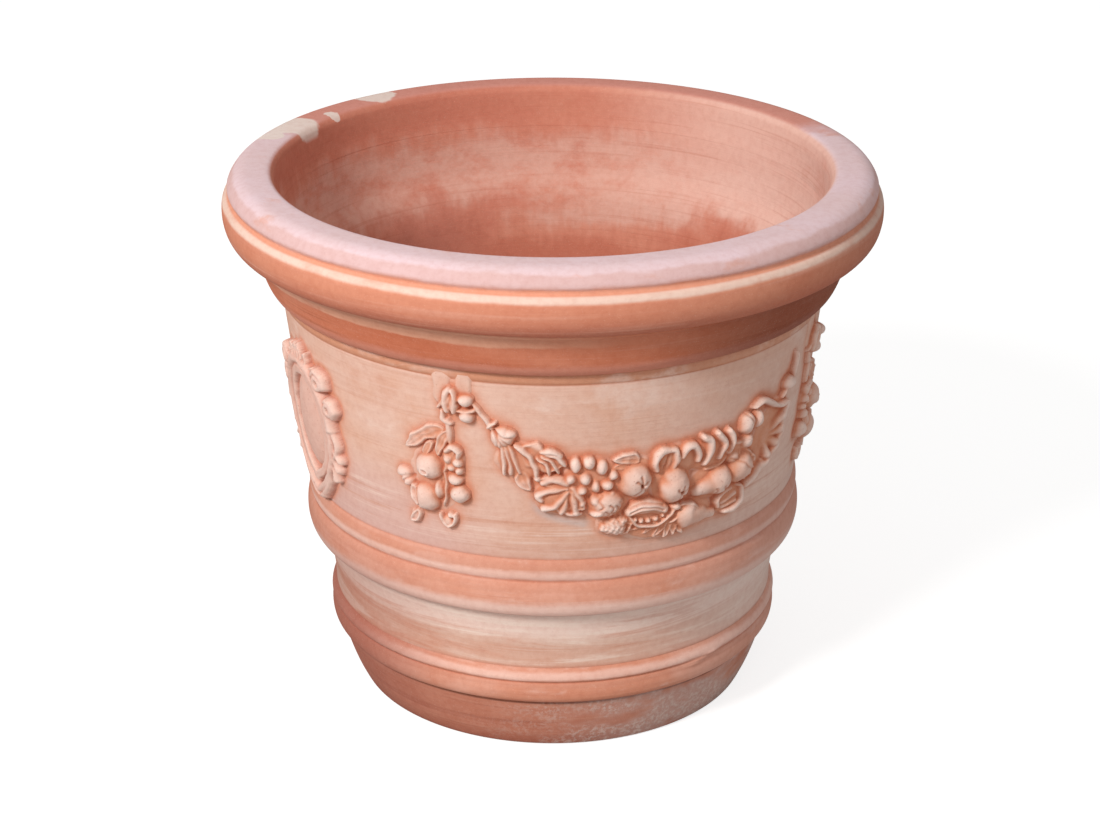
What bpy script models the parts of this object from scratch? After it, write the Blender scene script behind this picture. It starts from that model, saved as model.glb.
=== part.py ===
"""Large terracotta garden planter with festoons of fruit, as its clay pieces are put together.

The wall is a stack of turned stages on a slab. Two applied mouldings cover the joints of the
stages, and pressed sprigs (knots, drops, swags and cartouches) are seated on the upper wall.
Sizes are in metres and angles in degrees. Angle 0 faces -Y and angles grow towards +X.
"""

import math

import bmesh
import bpy
from mathutils import Vector

# Joint of slip between two pieces of clay, and how the sprigs are cut to fit
GAP = 0.0003
SEGMENTS = 32
TRIM_GROWTH = 0.0006
MERGE_ANGLE = 6.0
MERGE_REACH = 0.000002
NUDGES = 16
NUDGE_ANGLE = 0.04
NUDGE_LIFT = 0.00001
MAIN_SHARE = 0.85

# Heights of the turned wall
HEIGHT = 0.4990
RIM_HEIGHT = 0.0610
RIM_TONGUE_RISE = 0.0190
COLLAR_HEIGHT = 0.0460
FILLET_DROP = 0.0101
MID_BAND_FOOT = 0.1524
MID_BAND_HEIGHT = 0.0561
LOW_BAND_FOOT = 0.0567
LOW_BAND_HEIGHT = 0.0348
FLOOR_THICKNESS = 0.0280

# Radii of the turned wall, each stage set out from the one below it
BASE_RADIUS = 0.1857
HEEL_FLARE = 0.0195
HEEL_SWELL = 0.0013
LOWER_SET = 0.0030
LOWER_FLARE = 0.0114
UPPER_SET = 0.0078
UPPER_TAPER = 0.12
COLLAR_STAND = 0.0037
COLLAR_FLARE = 0.0266
RIM_OVERHANG = 0.0204
RIM_WIDTH = 0.0490
RIM_STEP = 0.0040
RIM_GROOVE = 0.0062
TONGUE_WIDTH = 0.0060
LOW_BAND_STAND = 0.0074
MID_BAND_STAND = 0.0129
BAND_SEAT = 0.0028
WALL_THICKNESS = 0.0230
DRAIN_RADIUS = 0.0200
CAVETTO_POWER = 2.2

# Ornament on the upper wall, its places given as parts of the plain wall's height
FRONT_BAY = 25.0
BAY = 90.0
KNOT_PART = 0.872
DROP_PART = 0.444
DROP_LEAN = 3.0
CARTOUCHE_PART = 0.456
SINK = 0.0040
MOULD = 0.0010
FRUIT_RADIUS = 0.0145
BERRY_RADIUS = 0.0048
LEAF_RELIEF = 0.0075
WEB_RELIEF = 0.0030
RIBBON_WIDTH = 0.0140
RIBBON_RELIEF = 0.0020
STRAP_GAP = 0.0015
CARTOUCHE_WIDTH = 0.0980
CARTOUCHE_HEIGHT = 0.1280
CARTOUCHE_RELIEF = 0.0095
BORDER_WIDTH = 0.0180
BORDER_STATIONS = 12
SHIELD_RELIEF = 0.0075
SHIELD_MARGIN = 0.0012

# Sizes that follow from those above
RIM_EAVES = HEIGHT - RIM_HEIGHT
RIM_REBATE = RIM_EAVES + RIM_TONGUE_RISE
COLLAR_FOOT = RIM_EAVES - COLLAR_HEIGHT
UPPER_FILLET = COLLAR_FOOT - FILLET_DROP
MID_BAND_HEAD = MID_BAND_FOOT + MID_BAND_HEIGHT
UPPER_FOOT = MID_BAND_HEAD + 3.0 * GAP
LOW_BAND_HEAD = LOW_BAND_FOOT + LOW_BAND_HEIGHT
LOW_BAND_FOOT_RADIUS = BASE_RADIUS + HEEL_FLARE
LOW_BAND_HEAD_RADIUS = LOW_BAND_FOOT_RADIUS + LOWER_SET
LOW_BAND_RADIUS = LOW_BAND_FOOT_RADIUS + LOW_BAND_STAND
MID_BAND_FOOT_RADIUS = LOW_BAND_HEAD_RADIUS + LOWER_FLARE
MID_BAND_RADIUS = MID_BAND_FOOT_RADIUS + MID_BAND_STAND
UPPER_FOOT_RADIUS = MID_BAND_FOOT_RADIUS + UPPER_SET
COLLAR_FOOT_RADIUS = UPPER_FOOT_RADIUS + UPPER_TAPER * (COLLAR_FOOT - UPPER_FOOT) + COLLAR_STAND
COLLAR_HEAD_RADIUS = COLLAR_FOOT_RADIUS + COLLAR_FLARE
RIM_RADIUS = COLLAR_HEAD_RADIUS + RIM_OVERHANG
RIM_MOUTH = RIM_RADIUS - RIM_WIDTH
RIM_THROAT = RIM_MOUTH - RIM_STEP

PALE = (0.72, 0.44, 0.33, 1.0)
PINK = (0.68, 0.37, 0.28, 1.0)
ORANGE = (0.54, 0.17, 0.08, 1.0)
BLOOM = (0.77, 0.56, 0.58, 1.0)
EARTH = (0.42, 0.15, 0.09, 1.0)


def clear_scene():
    """Start from an empty scene."""
    for obj in list(bpy.data.objects):
        bpy.data.objects.remove(obj, do_unlink=True)


def fired_clay(name, colour, roughness):
    """One shade of fired clay."""
    material = bpy.data.materials.new(name)
    material.use_nodes = True
    shader = material.node_tree.nodes["Principled BSDF"]
    shader.inputs["Base Color"].default_value = colour
    shader.inputs["Roughness"].default_value = roughness
    shader.inputs["Metallic"].default_value = 0.0
    material.diffuse_color = colour
    return material


def add_object(name, bm, material):
    """Put a finished mesh into the scene, smooth where it is round."""
    mesh = bpy.data.meshes.new(name)
    bm.to_mesh(mesh)
    bm.free()
    mesh.shade_smooth()
    mesh.set_sharp_from_angle(angle=math.radians(38))
    obj = bpy.data.objects.new(name, mesh)
    obj.data.materials.append(material)
    bpy.context.scene.collection.objects.link(obj)
    return obj


def spun(profile, count, closed):
    """Turn a profile of (radius, height) pairs about the local Z axis."""
    bm = bmesh.new()
    verts = [bm.verts.new((radius, 0.0, height)) for radius, height in profile]
    pairs = list(zip(verts, verts[1:]))
    if closed:
        pairs.append((verts[-1], verts[0]))
    edges = [bm.edges.new(pair) for pair in pairs]
    bmesh.ops.spin(
        bm,
        geom=verts + edges,
        cent=(0.0, 0.0, 0.0),
        axis=(0.0, 0.0, 1.0),
        angle=math.tau,
        steps=count,
        use_merge=True,
    )
    bmesh.ops.remove_doubles(bm, verts=bm.verts, dist=1e-6)
    bmesh.ops.recalc_face_normals(bm, faces=bm.faces)
    return bm


# The outer surface of each stage


def heel_radius(z):
    """Outer radius of the heel, a slightly swelling cone."""
    part = z / LOW_BAND_FOOT
    return BASE_RADIUS + HEEL_FLARE * part + HEEL_SWELL * 4.0 * part * (1.0 - part)


def lower_radius(z):
    """Outer radius of the lower wall, which flares under the mid band."""
    part = max(0.0, (z - LOW_BAND_HEAD) / (MID_BAND_FOOT - LOW_BAND_HEAD))
    return LOW_BAND_HEAD_RADIUS + LOWER_FLARE * part**CAVETTO_POWER


def upper_radius(z):
    """Outer radius of the upper wall, a plain cone."""
    return UPPER_FOOT_RADIUS + UPPER_TAPER * (z - UPPER_FOOT)


def low_joint():
    """Height of the joint that the low band covers."""
    return LOW_BAND_FOOT + 0.5 * LOW_BAND_HEIGHT


def mid_joint():
    """Height of the joint that the mid band covers."""
    return MID_BAND_FOOT + 0.5 * MID_BAND_HEIGHT


def low_seat():
    """Radius of the wall behind the low band."""
    return LOW_BAND_FOOT_RADIUS - 0.3 * BAND_SEAT


def mid_seat():
    """Radius of the wall behind the mid band."""
    return MID_BAND_FOOT_RADIUS + 0.3 * BAND_SEAT


def up_wall(part):
    """Height at a part of the way up the plain stretch of the upper wall."""
    return UPPER_FOOT + (UPPER_FILLET - UPPER_FOOT) * part


# The stack of turned stages


def floor_slab():
    """Flat slab with a drain hole, its edge part of the heel's slope."""
    top = FLOOR_THICKNESS
    return [
        (DRAIN_RADIUS, 0.0),
        (BASE_RADIUS, 0.0),
        (heel_radius(top), top),
        (DRAIN_RADIUS, top),
    ]


def heel_wall():
    """First stage of the wall, from the slab to the joint under the low band."""
    foot = FLOOR_THICKNESS + GAP
    middle = 0.5 * (foot + LOW_BAND_FOOT)
    joint = low_joint()
    return [
        (heel_radius(foot), foot),
        (heel_radius(middle), middle),
        (heel_radius(LOW_BAND_FOOT), LOW_BAND_FOOT),
        (low_seat(), LOW_BAND_FOOT + GAP),
        (low_seat(), joint),
        (low_seat() - WALL_THICKNESS, joint),
        (heel_radius(foot) - WALL_THICKNESS, foot),
    ]


def lower_wall():
    """Second stage, with the shoulder above the low band and the cavetto flare."""
    foot = low_joint() + GAP
    joint = mid_joint()
    rise = MID_BAND_FOOT - LOW_BAND_HEAD
    outer = [(low_seat(), foot), (low_seat(), LOW_BAND_HEAD)]
    for part in (0.0, 0.5, 0.8, 1.0):
        z = LOW_BAND_HEAD + GAP + (rise - GAP) * part
        outer.append((lower_radius(z), z))
    outer.append((mid_seat(), joint))
    return outer + [(mid_seat() - WALL_THICKNESS, joint), (low_seat() - WALL_THICKNESS, foot)]


def upper_wall():
    """Third stage, the tall conical wall that the ornament is stuck on."""
    foot = mid_joint() + GAP
    head = COLLAR_FOOT - GAP
    fillet = 0.5 * (UPPER_FILLET + head)
    return [
        (mid_seat(), foot),
        (mid_seat() + GAP, MID_BAND_HEAD),
        (upper_radius(UPPER_FOOT), UPPER_FOOT),
        (upper_radius(UPPER_FILLET), UPPER_FILLET),
        (COLLAR_FOOT_RADIUS - BAND_SEAT, fillet),
        (COLLAR_FOOT_RADIUS - BAND_SEAT, head),
        (upper_radius(head) - WALL_THICKNESS, head),
        (mid_seat() - WALL_THICKNESS, foot),
    ]


def collar():
    """Swelling moulding under the rim, with a tongue that the rim ring sits round."""
    head = RIM_EAVES - GAP
    throat = RIM_THROAT + TONGUE_WIDTH
    swell = []
    for out, up in ((0.30, 0.16), (0.52, 0.42), (0.68, 0.72)):
        swell.append((COLLAR_FOOT_RADIUS + out * COLLAR_FLARE, COLLAR_FOOT + up * COLLAR_HEIGHT))
    return [
        (COLLAR_FOOT_RADIUS - 0.5 * BAND_SEAT, COLLAR_FOOT),
        *swell,
        (COLLAR_HEAD_RADIUS, head),
        (throat, head),
        (throat, RIM_REBATE - GAP),
        (RIM_THROAT, RIM_REBATE - GAP),
        (RIM_THROAT - 0.12 * WALL_THICKNESS, COLLAR_FOOT + 0.62 * COLLAR_HEIGHT),
        (upper_radius(COLLAR_FOOT) - WALL_THICKNESS, COLLAR_FOOT),
    ]


def rim_ring():
    """Rolled lip: flat bloomed top, groove with a fillet, and an ovolo that overhangs."""
    bottom = RIM_RADIUS - 0.08 * RIM_WIDTH - RIM_GROOVE
    throat = RIM_THROAT + TONGUE_WIDTH + GAP
    outline = []
    for inward, up in ((0.38, 1.0), (0.2, 0.9), (0.14, 0.746)):
        outline.append((RIM_RADIUS - inward * RIM_WIDTH, RIM_EAVES + up * RIM_HEIGHT))
    outline.append((bottom, RIM_EAVES + 0.697 * RIM_HEIGHT))
    outline.append((bottom, RIM_EAVES + 0.644 * RIM_HEIGHT))
    for inward, up in ((0.06, 0.618), (0.0, 0.44), (0.035, 0.25), (0.127, 0.1)):
        outline.append((RIM_RADIUS - inward * RIM_WIDTH, RIM_EAVES + up * RIM_HEIGHT))
    return [
        (RIM_MOUTH + 0.06 * RIM_WIDTH, HEIGHT),
        *outline,
        (COLLAR_HEAD_RADIUS, RIM_EAVES),
        (throat, RIM_EAVES),
        (throat, RIM_REBATE),
        (RIM_THROAT, RIM_REBATE),
        (RIM_MOUTH, HEIGHT - 0.18 * RIM_HEIGHT),
    ]


def mid_band():
    """Double moulding: a fat roll, a groove and a narrow upper fillet."""
    foot = MID_BAND_FOOT + GAP
    outline = []
    curve = ((0.47, 0.04), (0.19, 0.12), (0.0, 0.31), (0.05, 0.52), (0.31, 0.66), (0.26, 0.93))
    for inward, up in curve:
        outline.append((MID_BAND_RADIUS - inward * MID_BAND_STAND, foot + up * MID_BAND_HEIGHT))
    return [
        (mid_seat() + GAP, foot),
        *outline,
        (upper_radius(UPPER_FOOT) + 0.1 * BAND_SEAT, MID_BAND_HEAD - GAP),
        (mid_seat() + 2.5 * GAP, MID_BAND_HEAD - GAP),
    ]


def low_band():
    """Narrower double moulding with a bead above its groove."""
    foot = LOW_BAND_FOOT + GAP
    outline = []
    for inward, up in ((0.35, 0.10), (0.0, 0.32), (0.27, 0.58), (0.03, 0.70), (0.43, 0.88)):
        outline.append((LOW_BAND_RADIUS - inward * LOW_BAND_STAND, foot + up * LOW_BAND_HEIGHT))
    return [
        (low_seat() + GAP, foot),
        *outline,
        (LOW_BAND_HEAD_RADIUS, LOW_BAND_HEAD - GAP),
        (low_seat() + GAP, LOW_BAND_HEAD - GAP),
    ]


# Shapes that sprigs are pressed from, flat: U to the right, V up, W out of the wall


def drawn(*sizes):
    """Sizes read off a mould, in its own units."""
    return tuple(size * MOULD for size in sizes)


def placed(bm, turn, at):
    """Turn a shape in the plane of the wall and shift it."""
    cosine = math.cos(math.radians(turn))
    sine = math.sin(math.radians(turn))
    for vert in bm.verts:
        u, v, w = vert.co
        vert.co = (at[0] + u * cosine - v * sine, at[1] + u * sine + v * cosine, at[2] + w)
    return bm


def dome(across, up, relief, hollow, at, count=10):
    """A round form seen from its crown, with a pit in the crown when hollow is above zero."""
    profile = [(0.0, -SINK)]
    for bearing in (-8, 26, 56):
        reach = math.cos(math.radians(bearing))
        profile.append((reach, relief * math.sin(math.radians(bearing))))
    if hollow > 0.0:
        profile.append((0.22, 0.97 * relief))
    profile.append((0.0, (1.0 - hollow) * relief))
    bm = spun(profile, count, False)
    for vert in bm.verts:
        vert.co.x *= across
        vert.co.y *= up
    return placed(bm, 0.0, at)


def fruit(across, up, hollow, u, v):
    """A dome sized by the fruit radius, at a place on the mould."""
    return dome(across * FRUIT_RADIUS, up * FRUIT_RADIUS, FRUIT_RADIUS, hollow, drawn(u, v, 0.0))


def bead(across, up, relief, u, v, count=6):
    """A small round form of few faces, a bud or a seed."""
    profile = [(0.0, -SINK), (1.0, 0.3 * relief), (0.62, 0.85 * relief), (0.0, relief)]
    bm = spun(profile, count, False)
    for vert in bm.verts:
        vert.co.x *= across
        vert.co.y *= up
    return placed(bm, 0.0, (u, v, 0.0))


def berry(size, tall, u, v, w=0.0):
    """A grape or a seed, which may be taller than it is wide and stand on something."""
    radius = size * BERRY_RADIUS
    return bead(radius, tall * radius, 1.4 * radius + w * MOULD, *drawn(u, v), 5)


def web(across, up, u, v):
    """The thin ground of clay that holds the parts of a sprig together."""
    profile = [(0.0, -SINK), (1.0, 0.0), (0.92, WEB_RELIEF), (0.0, WEB_RELIEF)]
    bm = spun(profile, 6, False)
    for vert in bm.verts:
        vert.co.x *= across * MOULD
        vert.co.y *= up * MOULD
    return placed(bm, 0.0, drawn(u, v, 0.0))


def lying(profile, count, turn, at):
    """A turned shape with its axis along the wall, pointing up at turn 0."""
    bm = spun(profile, count, False)
    for vert in bm.verts:
        u, v, w = vert.co
        vert.co = (u, w, -v)
    return placed(bm, turn, at)


def roll(width, relief, *path):
    """A rounded rib that follows points on the mould, its ends tapering to the wall."""
    points = [Vector(drawn(u, v)) for u, v in path]
    bm = bmesh.new()
    rows = []
    for index, point in enumerate(points):
        before = points[max(index - 1, 0)]
        after = points[min(index + 1, len(points) - 1)]
        side = (after - before).normalized().orthogonal()
        end = 0.7 if index in (0, len(points) - 1) else 1.0
        half = 0.5 * end * width * MOULD
        high = end * relief * MOULD
        row = []
        for across, w in ((-1.0, -SINK), (-0.55, high), (0.55, high), (1.0, -SINK)):
            u, v = point - side * (across * half)
            row.append(bm.verts.new((u, v, w)))
        rows.append(row)
    for near, far in zip(rows, rows[1:]):
        for index in range(4):
            after = (index + 1) % 4
            bm.faces.new((near[index], near[after], far[after], far[index]))
    bm.faces.new(rows[0])
    bm.faces.new(rows[-1])
    bmesh.ops.recalc_face_normals(bm, faces=bm.faces)
    return bm


def lobed_leaf(tips, sweep, middle, length, notch, u, v, longer=0.0):
    """A leaf whose lobes radiate from a raised base, with a rib to each tip and notches between."""
    outline = []
    base = 0.22 * length
    points = 2 * tips - 1
    for index in range(points):
        part = 2.0 * index / (points - 1) - 1.0
        reach = length * (1.0 + longer * (1.0 - abs(part)))
        rise = 0.7
        if index % 2:
            reach *= notch
            rise = 0.3
        turn = math.radians(middle + 0.5 * sweep * part)
        outline.append((-reach * math.sin(turn), reach * math.cos(turn), rise))
    back = math.radians(middle)
    outline.append((base * math.sin(back), -base * math.cos(back), 0.5))
    bm = bmesh.new()
    high = [bm.verts.new(drawn(x, y) + (rise * LEAF_RELIEF,)) for x, y, rise in outline]
    low = [bm.verts.new(drawn(x, y) + (-SINK,)) for x, y, rise in outline]
    hub = bm.verts.new((0.0, 0.0, LEAF_RELIEF))
    root = bm.verts.new((0.0, 0.0, -SINK))
    count = len(outline)
    for index in range(count):
        after = (index + 1) % count
        bm.faces.new((high[index], high[after], hub))
        bm.faces.new((low[after], low[index], root))
        bm.faces.new((high[index], low[index], low[after], high[after]))
    bmesh.ops.recalc_face_normals(bm, faces=bm.faces)
    return placed(bm, 0.0, drawn(u, v, 0.0))


def slab(left, right, bottom, top, relief):
    """A flat strip or plate between four edges."""
    bm = bmesh.new()
    bmesh.ops.create_cube(bm, size=1.0)
    for vert in bm.verts:
        u, v, w = vert.co
        vert.co = (
            right if u > 0.0 else left,
            top if v > 0.0 else bottom,
            relief if w > 0.0 else -0.8 * SINK,
        )
    return bm


# Sprigs of a swag


def apple():
    """Apple with an open calyx, under a rolled leaf."""
    return [fruit(1.0, 1.08, 0.22, 0.0, 0.0), roll(5.0, 6.5, (-19.0, 17.5), (-6.0, 19.0), (4.0, 21.0))]


def pear():
    """Blunt pear seen from its eye, its neck under a leaf of three points."""
    return [fruit(0.98, 1.13, 0.14, 0.0, 0.0), lobed_leaf(3, 110.0, 170.0, 13.0, 0.6, -4.0, 25.0, 0.2)]


def quince():
    """Quince whose long body lies to the left of its round end."""
    body = [drawn(0.0, 0.0), drawn(5.0, 1.0), drawn(9.0, 12.0), drawn(11.0, 24.0), drawn(0.0, 32.0)]
    return [fruit(0.95, 0.97, 0.12, 0.0, 0.0), lying(body, 8, -88.0, drawn(-30.0, -3.0, 1.0))]


def peach():
    """Round peach with a leaf over its shoulder."""
    return [fruit(1.05, 0.95, 0.05, 0.0, 0.0), roll(5.5, 6.0, (-20.0, 20.0), (-8.0, 22.0), (2.0, 19.0))]


def pomegranate():
    """Round body with a split crown at its lower left."""
    crown = [drawn(0.0, 0.0), drawn(4.5, 0.5), drawn(3.5, 4.0), drawn(5.5, 8.0), drawn(0.0, 6.5)]
    return [fruit(1.0, 0.92, 0.0, 0.0, 0.0), lying(crown, 7, 130.0, drawn(-7.0, -6.0, 6.0))]


def lemon():
    """Fat lemon that points down to the right."""
    body = [
        drawn(0.0, 0.0),
        drawn(9.5, 3.0),
        drawn(13.0, 12.0),
        drawn(12.0, 22.0),
        drawn(6.0, 34.0),
        drawn(2.5, 39.0),
        drawn(0.0, 43.0),
    ]
    return [lying(body, 10, -98.0, drawn(-12.0, 2.0, 0.0))]


def cone():
    """Rough cone that points down to the left."""
    body = [drawn(0.0, 0.0), drawn(7.0, 2.0), drawn(9.5, 11.0), drawn(7.5, 19.0), drawn(0.0, 25.0)]
    return [lying(body, 7, 96.0, drawn(12.0, 0.0, 1.0))]


def pod():
    """Open pod: a ridged husk above, a lip that rolls away to the right, and a row of seeds."""
    shapes = [
        roll(15.0, 9.5, (-23.0, 3.0), (-13.0, 9.0), (0.0, 9.0), (12.0, 3.0)),
        slab(*drawn(-19.0, 13.0, -10.0, 4.0, 3.0)),
        roll(4.2, 8.0, (-22.0, -1.0), (-13.0, -9.5), (0.0, -13.0), (10.0, -10.0), (18.0, -4.0)),
        berry(0.9, 1.0, 21.5, 2.0, 2.0),
    ]
    for index in range(3):
        shapes.append(berry(0.7, 1.0, -12.0 + 8.0 * index, -4.0 - 0.6 * index, 3.0))
    return shapes


def grapes():
    """A bunch of oval grapes in three rows on a low mound."""
    shapes = [web(23.0, 18.0, 0.0, 1.0)]
    for left, up, count in ((-12.0, 12.5, 3), (-15.0, 0.0, 4), (-5.0, -12.0, 2)):
        for index in range(count):
            shapes.append(berry(1.0, 1.25, left + 11.0 * index, up - 0.6 * index, 1.0))
    return shapes


def bellflower():
    """A stalk that runs from the knot into a gathered bell."""
    bell = [drawn(0.0, 0.0), drawn(4.5, 1.0), drawn(9.5, 9.0), drawn(10.5, 15.0), drawn(0.0, 17.0)]
    return [
        lying(bell, 9, -142.0, drawn(-6.5, 8.0, 0.0)),
        roll(6.0, 5.0, (-18.5, 22.0), (-13.0, 14.0), (-5.0, 4.0)),
    ]


def leaf_spray():
    """Finger leaves and a long fold, beside broader leaves that reach to the right."""
    return [
        web(17.0, 15.0, -6.0, 1.0),
        lobed_leaf(5, 78.0, -112.0, 24.0, 0.84, -3.0, 14.0, 0.2),
        roll(5.4, 7.5, (-15.0, 19.0), (-5.0, 13.0), (1.0, 1.0), (5.0, -14.0)),
        roll(5.0, 6.0, (-21.0, 18.0), (-14.0, 5.0), (-9.0, -8.0)),
        roll(5.0, 6.0, (-25.0, 14.0), (-20.5, 3.0), (-17.0, -11.0)),
        lobed_leaf(3, 56.0, 176.0, 15.0, 0.8, -4.0, -10.0),
    ]


def vine_leaf():
    """Crumpled vine leaf whose folds stand up from it."""
    return [
        lobed_leaf(6, 250.0, 166.0, 21.5, 0.86, 2.0, 4.0),
        roll(6.0, 9.0, (1.0, 11.0), (-10.0, 14.5), (-19.0, 8.0)),
        roll(6.0, 9.0, (0.0, 5.0), (-20.0, -2.0)),
        roll(6.0, 9.0, (0.0, 1.0), (-14.0, -16.0)),
        roll(6.0, 9.0, (4.0, 0.0), (8.0, -19.0)),
    ]


def leaf_fan():
    """Narrow leaves that spread downwards from behind the pod."""
    return [lobed_leaf(5, 124.0, 142.0, 26.0, 0.84, 12.0, 10.0, 0.25)]


def curled_leaves():
    """Leaves that curl up behind the fruit along the top of the swag."""
    return [
        web(20.0, 12.0, -18.0, 0.0),
        web(21.0, 14.0, 16.0, 0.0),
        roll(7.0, 7.0, (-37.0, 4.0), (-18.0, 13.0)),
        roll(6.5, 8.0, (-12.0, -4.0), (-12.0, 10.0), (2.0, 11.0)),
        roll(6.5, 8.5, (3.0, -8.0), (13.0, 6.0), (8.0, 16.0)),
        roll(6.5, 8.0, (15.0, -6.0), (27.0, 9.0), (21.0, 20.0)),
        roll(6.5, 7.5, (28.0, -1.0), (35.0, 21.0)),
    ]


def tall_leaf():
    """The long hollow leaf that climbs to the knot, with round buds along its inner side."""
    return [
        web(24.0, 25.0, -5.0, 8.0),
        roll(7.0, 8.5, (35.0, 22.0), (23.0, 14.0), (20.0, -13.0), (8.0, -23.0), (-11.0, -38.0)),
        roll(6.0, 7.0, (-16.0, 30.0), (8.0, 34.0)),
        roll(6.0, 7.5, (2.0, 22.0), (16.0, 2.0)),
        roll(6.0, 7.5, (-8.0, 2.0), (14.0, -13.0)),
        bead(*drawn(8.0, 9.5, 9.5, -22.0, 20.0)),
        bead(*drawn(6.0, 8.5, 9.0, -9.0, 20.0), 5),
        bead(*drawn(7.5, 7.5, 9.0, -21.0, 3.0), 5),
    ]


def bud():
    """Open seed cup with a thick lip."""
    path = ((10.0, -2.0), (9.0, 9.0), (-2.0, 14.0), (-14.0, 12.0), (-17.0, 3.0), (-12.0, -7.0), (-2.0, -9.0))
    return [roll(5.6, 8.5, *path), web(12.0, 11.0, -3.0, 3.0)]


def end_bud():
    """Round bud on the stalk that hangs from the right-hand knot."""
    return [
        bead(*drawn(8.5, 7.0, 9.0, 0.0, 0.0), 7),
        roll(5.0, 6.0, (4.0, 1.0), (8.0, 14.0), (10.0, 25.0)),
        roll(5.0, 5.5, (-2.0, -3.0), (-10.0, -13.0)),
    ]


# Sprig, degrees from the middle of the bay, part of the wall's height; the first ones lie on top
SWAG = (
    ("apple", apple, -8.1, 0.452),
    ("pear", pear, 0.7, 0.384),
    ("quince", quince, 11.7, 0.353),
    ("peach", peach, 18.2, 0.384),
    ("pomegranate", pomegranate, -13.9, 0.334),
    ("lemon", lemon, 5.1, 0.192),
    ("bud", bud, 16.5, 0.202),
    ("pod", pod, -3.8, 0.240),
    ("cone", cone, -12.0, 0.192),
    ("grapes", grapes, -17.6, 0.490),
    ("bellflower", bellflower, -35.1, 0.712),
    ("leaf_spray", leaf_spray, -29.3, 0.560),
    ("vine_leaf", vine_leaf, -23.6, 0.386),
    ("leaf_fan", leaf_fan, -1.4, 0.154),
    ("end_bud", end_bud, 33.4, 0.728),
    ("tall_leaf", tall_leaf, 24.6, 0.494),
    ("curled_leaves", curled_leaves, 6.3, 0.520),
)


def knot():
    """Ribbon tied in a bow: one long loop, two round ones and a fold, under two straps."""
    top = UPPER_FILLET - up_wall(KNOT_PART) - GAP
    shapes = [
        roll(8.0, 9.0, (-1.0, 14.0), (-6.0, 4.0), (-4.5, -8.0), (3.0, -6.0)),
        bead(*drawn(8.0, 7.5, 10.0, 10.5, 3.5)),
        bead(*drawn(8.5, 8.0, 8.5, 10.5, -11.0)),
        roll(6.0, 7.0, (-3.0, -3.5), (9.0, -4.0), (18.0, -3.5)),
        roll(6.0, 5.0, (-7.0, -5.0), (-5.0, -39.0)),
    ]
    for side in (-1.0, 1.0):
        edges = sorted((side * STRAP_GAP, side * (STRAP_GAP + RIBBON_WIDTH)))
        shapes.append(slab(edges[0], edges[1], 0.0, top, RIBBON_RELIEF))
    return shapes


def drop():
    """Hanging cluster of fruit, buds and leaves on one stalk."""
    return [
        web(19.0, 20.0, -7.0, -12.0),
        dome(*drawn(13.3, 13.3, 13.0), 0.12, drawn(-13.0, 8.0, 0.0), 8),
        dome(*drawn(12.6, 14.2, 12.5), 0.0, drawn(-18.0, -24.0, 0.0), 8),
        bead(*drawn(8.5, 9.2, 11.0, 13.0, -15.0)),
        bead(*drawn(7.0, 6.5, 9.0, 10.0, 0.0)),
        bead(*drawn(8.5, 8.5, 8.0, -34.0, -9.0)),
        lobed_leaf(3, 66.0, 112.0, 30.0, 0.84, -2.0, 40.0, 0.15),
        lobed_leaf(3, 100.0, -164.0, 18.0, 0.84, 10.0, 22.0, 0.1),
        roll(6.0, 7.0, (8.0, 46.0), (-6.0, 19.0)),
        roll(5.0, 6.0, (2.0, 26.0), (0.0, -36.0)),
        roll(5.5, 6.0, (0.0, -32.0), (-6.0, -42.0), (0.0, -53.0)),
        roll(5.5, 6.0, (0.0, -32.0), (8.0, -41.0), (3.0, -52.0)),
        roll(6.0, 6.0, (-22.0, -33.0), (-37.0, -53.0)),
    ]


def right_drop():
    """The drop from the left-handed mould, for the right-hand end of a swag."""
    return [mirrored(bm) for bm in drop()]


def oval(width, height, angle):
    """A point on the cartouche's oval outline, pinched towards its foot."""
    across = math.sin(angle)
    up = math.cos(angle)
    pinch = 1.0 - 0.16 * max(0.0, -up) ** 2
    return 0.5 * width * across * pinch, 0.5 * height * up


def border():
    """Raised double strap round a cartouche, a closed ring with a groove along its back."""
    bm = bmesh.new()
    rows = []
    inner_width = CARTOUCHE_WIDTH - 2.0 * BORDER_WIDTH
    inner_height = CARTOUCHE_HEIGHT - 2.0 * BORDER_WIDTH
    high = CARTOUCHE_RELIEF
    section = ((0.0, -SINK), (0.22, high), (0.55, 0.55 * high), (0.8, 0.9 * high), (1.0, -SINK))
    for station in range(BORDER_STATIONS):
        angle = math.tau * station / BORDER_STATIONS
        u, v = oval(CARTOUCHE_WIDTH, CARTOUCHE_HEIGHT, angle)
        inner_u, inner_v = oval(inner_width, inner_height, angle)
        row = []
        for part, rise in section:
            row.append(bm.verts.new((u + (inner_u - u) * part, v + (inner_v - v) * part, rise)))
        rows.append(row)
    count = len(section)
    for near, far in zip(rows, rows[1:] + rows[:1]):
        for index in range(count):
            after = (index + 1) % count
            bm.faces.new((near[index], near[after], far[after], far[index]))
    bmesh.ops.recalc_face_normals(bm, faces=bm.faces)
    return bm


def scrolls():
    """Scrolls, bead and stacked rolls on the right-hand side of a cartouche."""
    return [
        roll(8.0, 10.0, (24.0, 48.0), (34.0, 60.0), (46.0, 57.0), (45.0, 46.0)),
        roll(8.0, 10.0, (40.0, 35.0), (53.0, 38.0), (57.0, 27.0)),
        roll(8.0, 8.5, (44.0, 16.0), (50.0, -5.0)),
        roll(8.0, 9.0, (38.0, -15.0), (59.0, -17.0)),
        roll(8.0, 9.0, (36.0, -26.0), (57.0, -29.0)),
        roll(7.5, 8.5, (32.0, -36.0), (50.0, -42.0)),
        roll(7.5, 8.5, (28.0, -46.0), (9.0, -70.0)),
    ]


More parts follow.
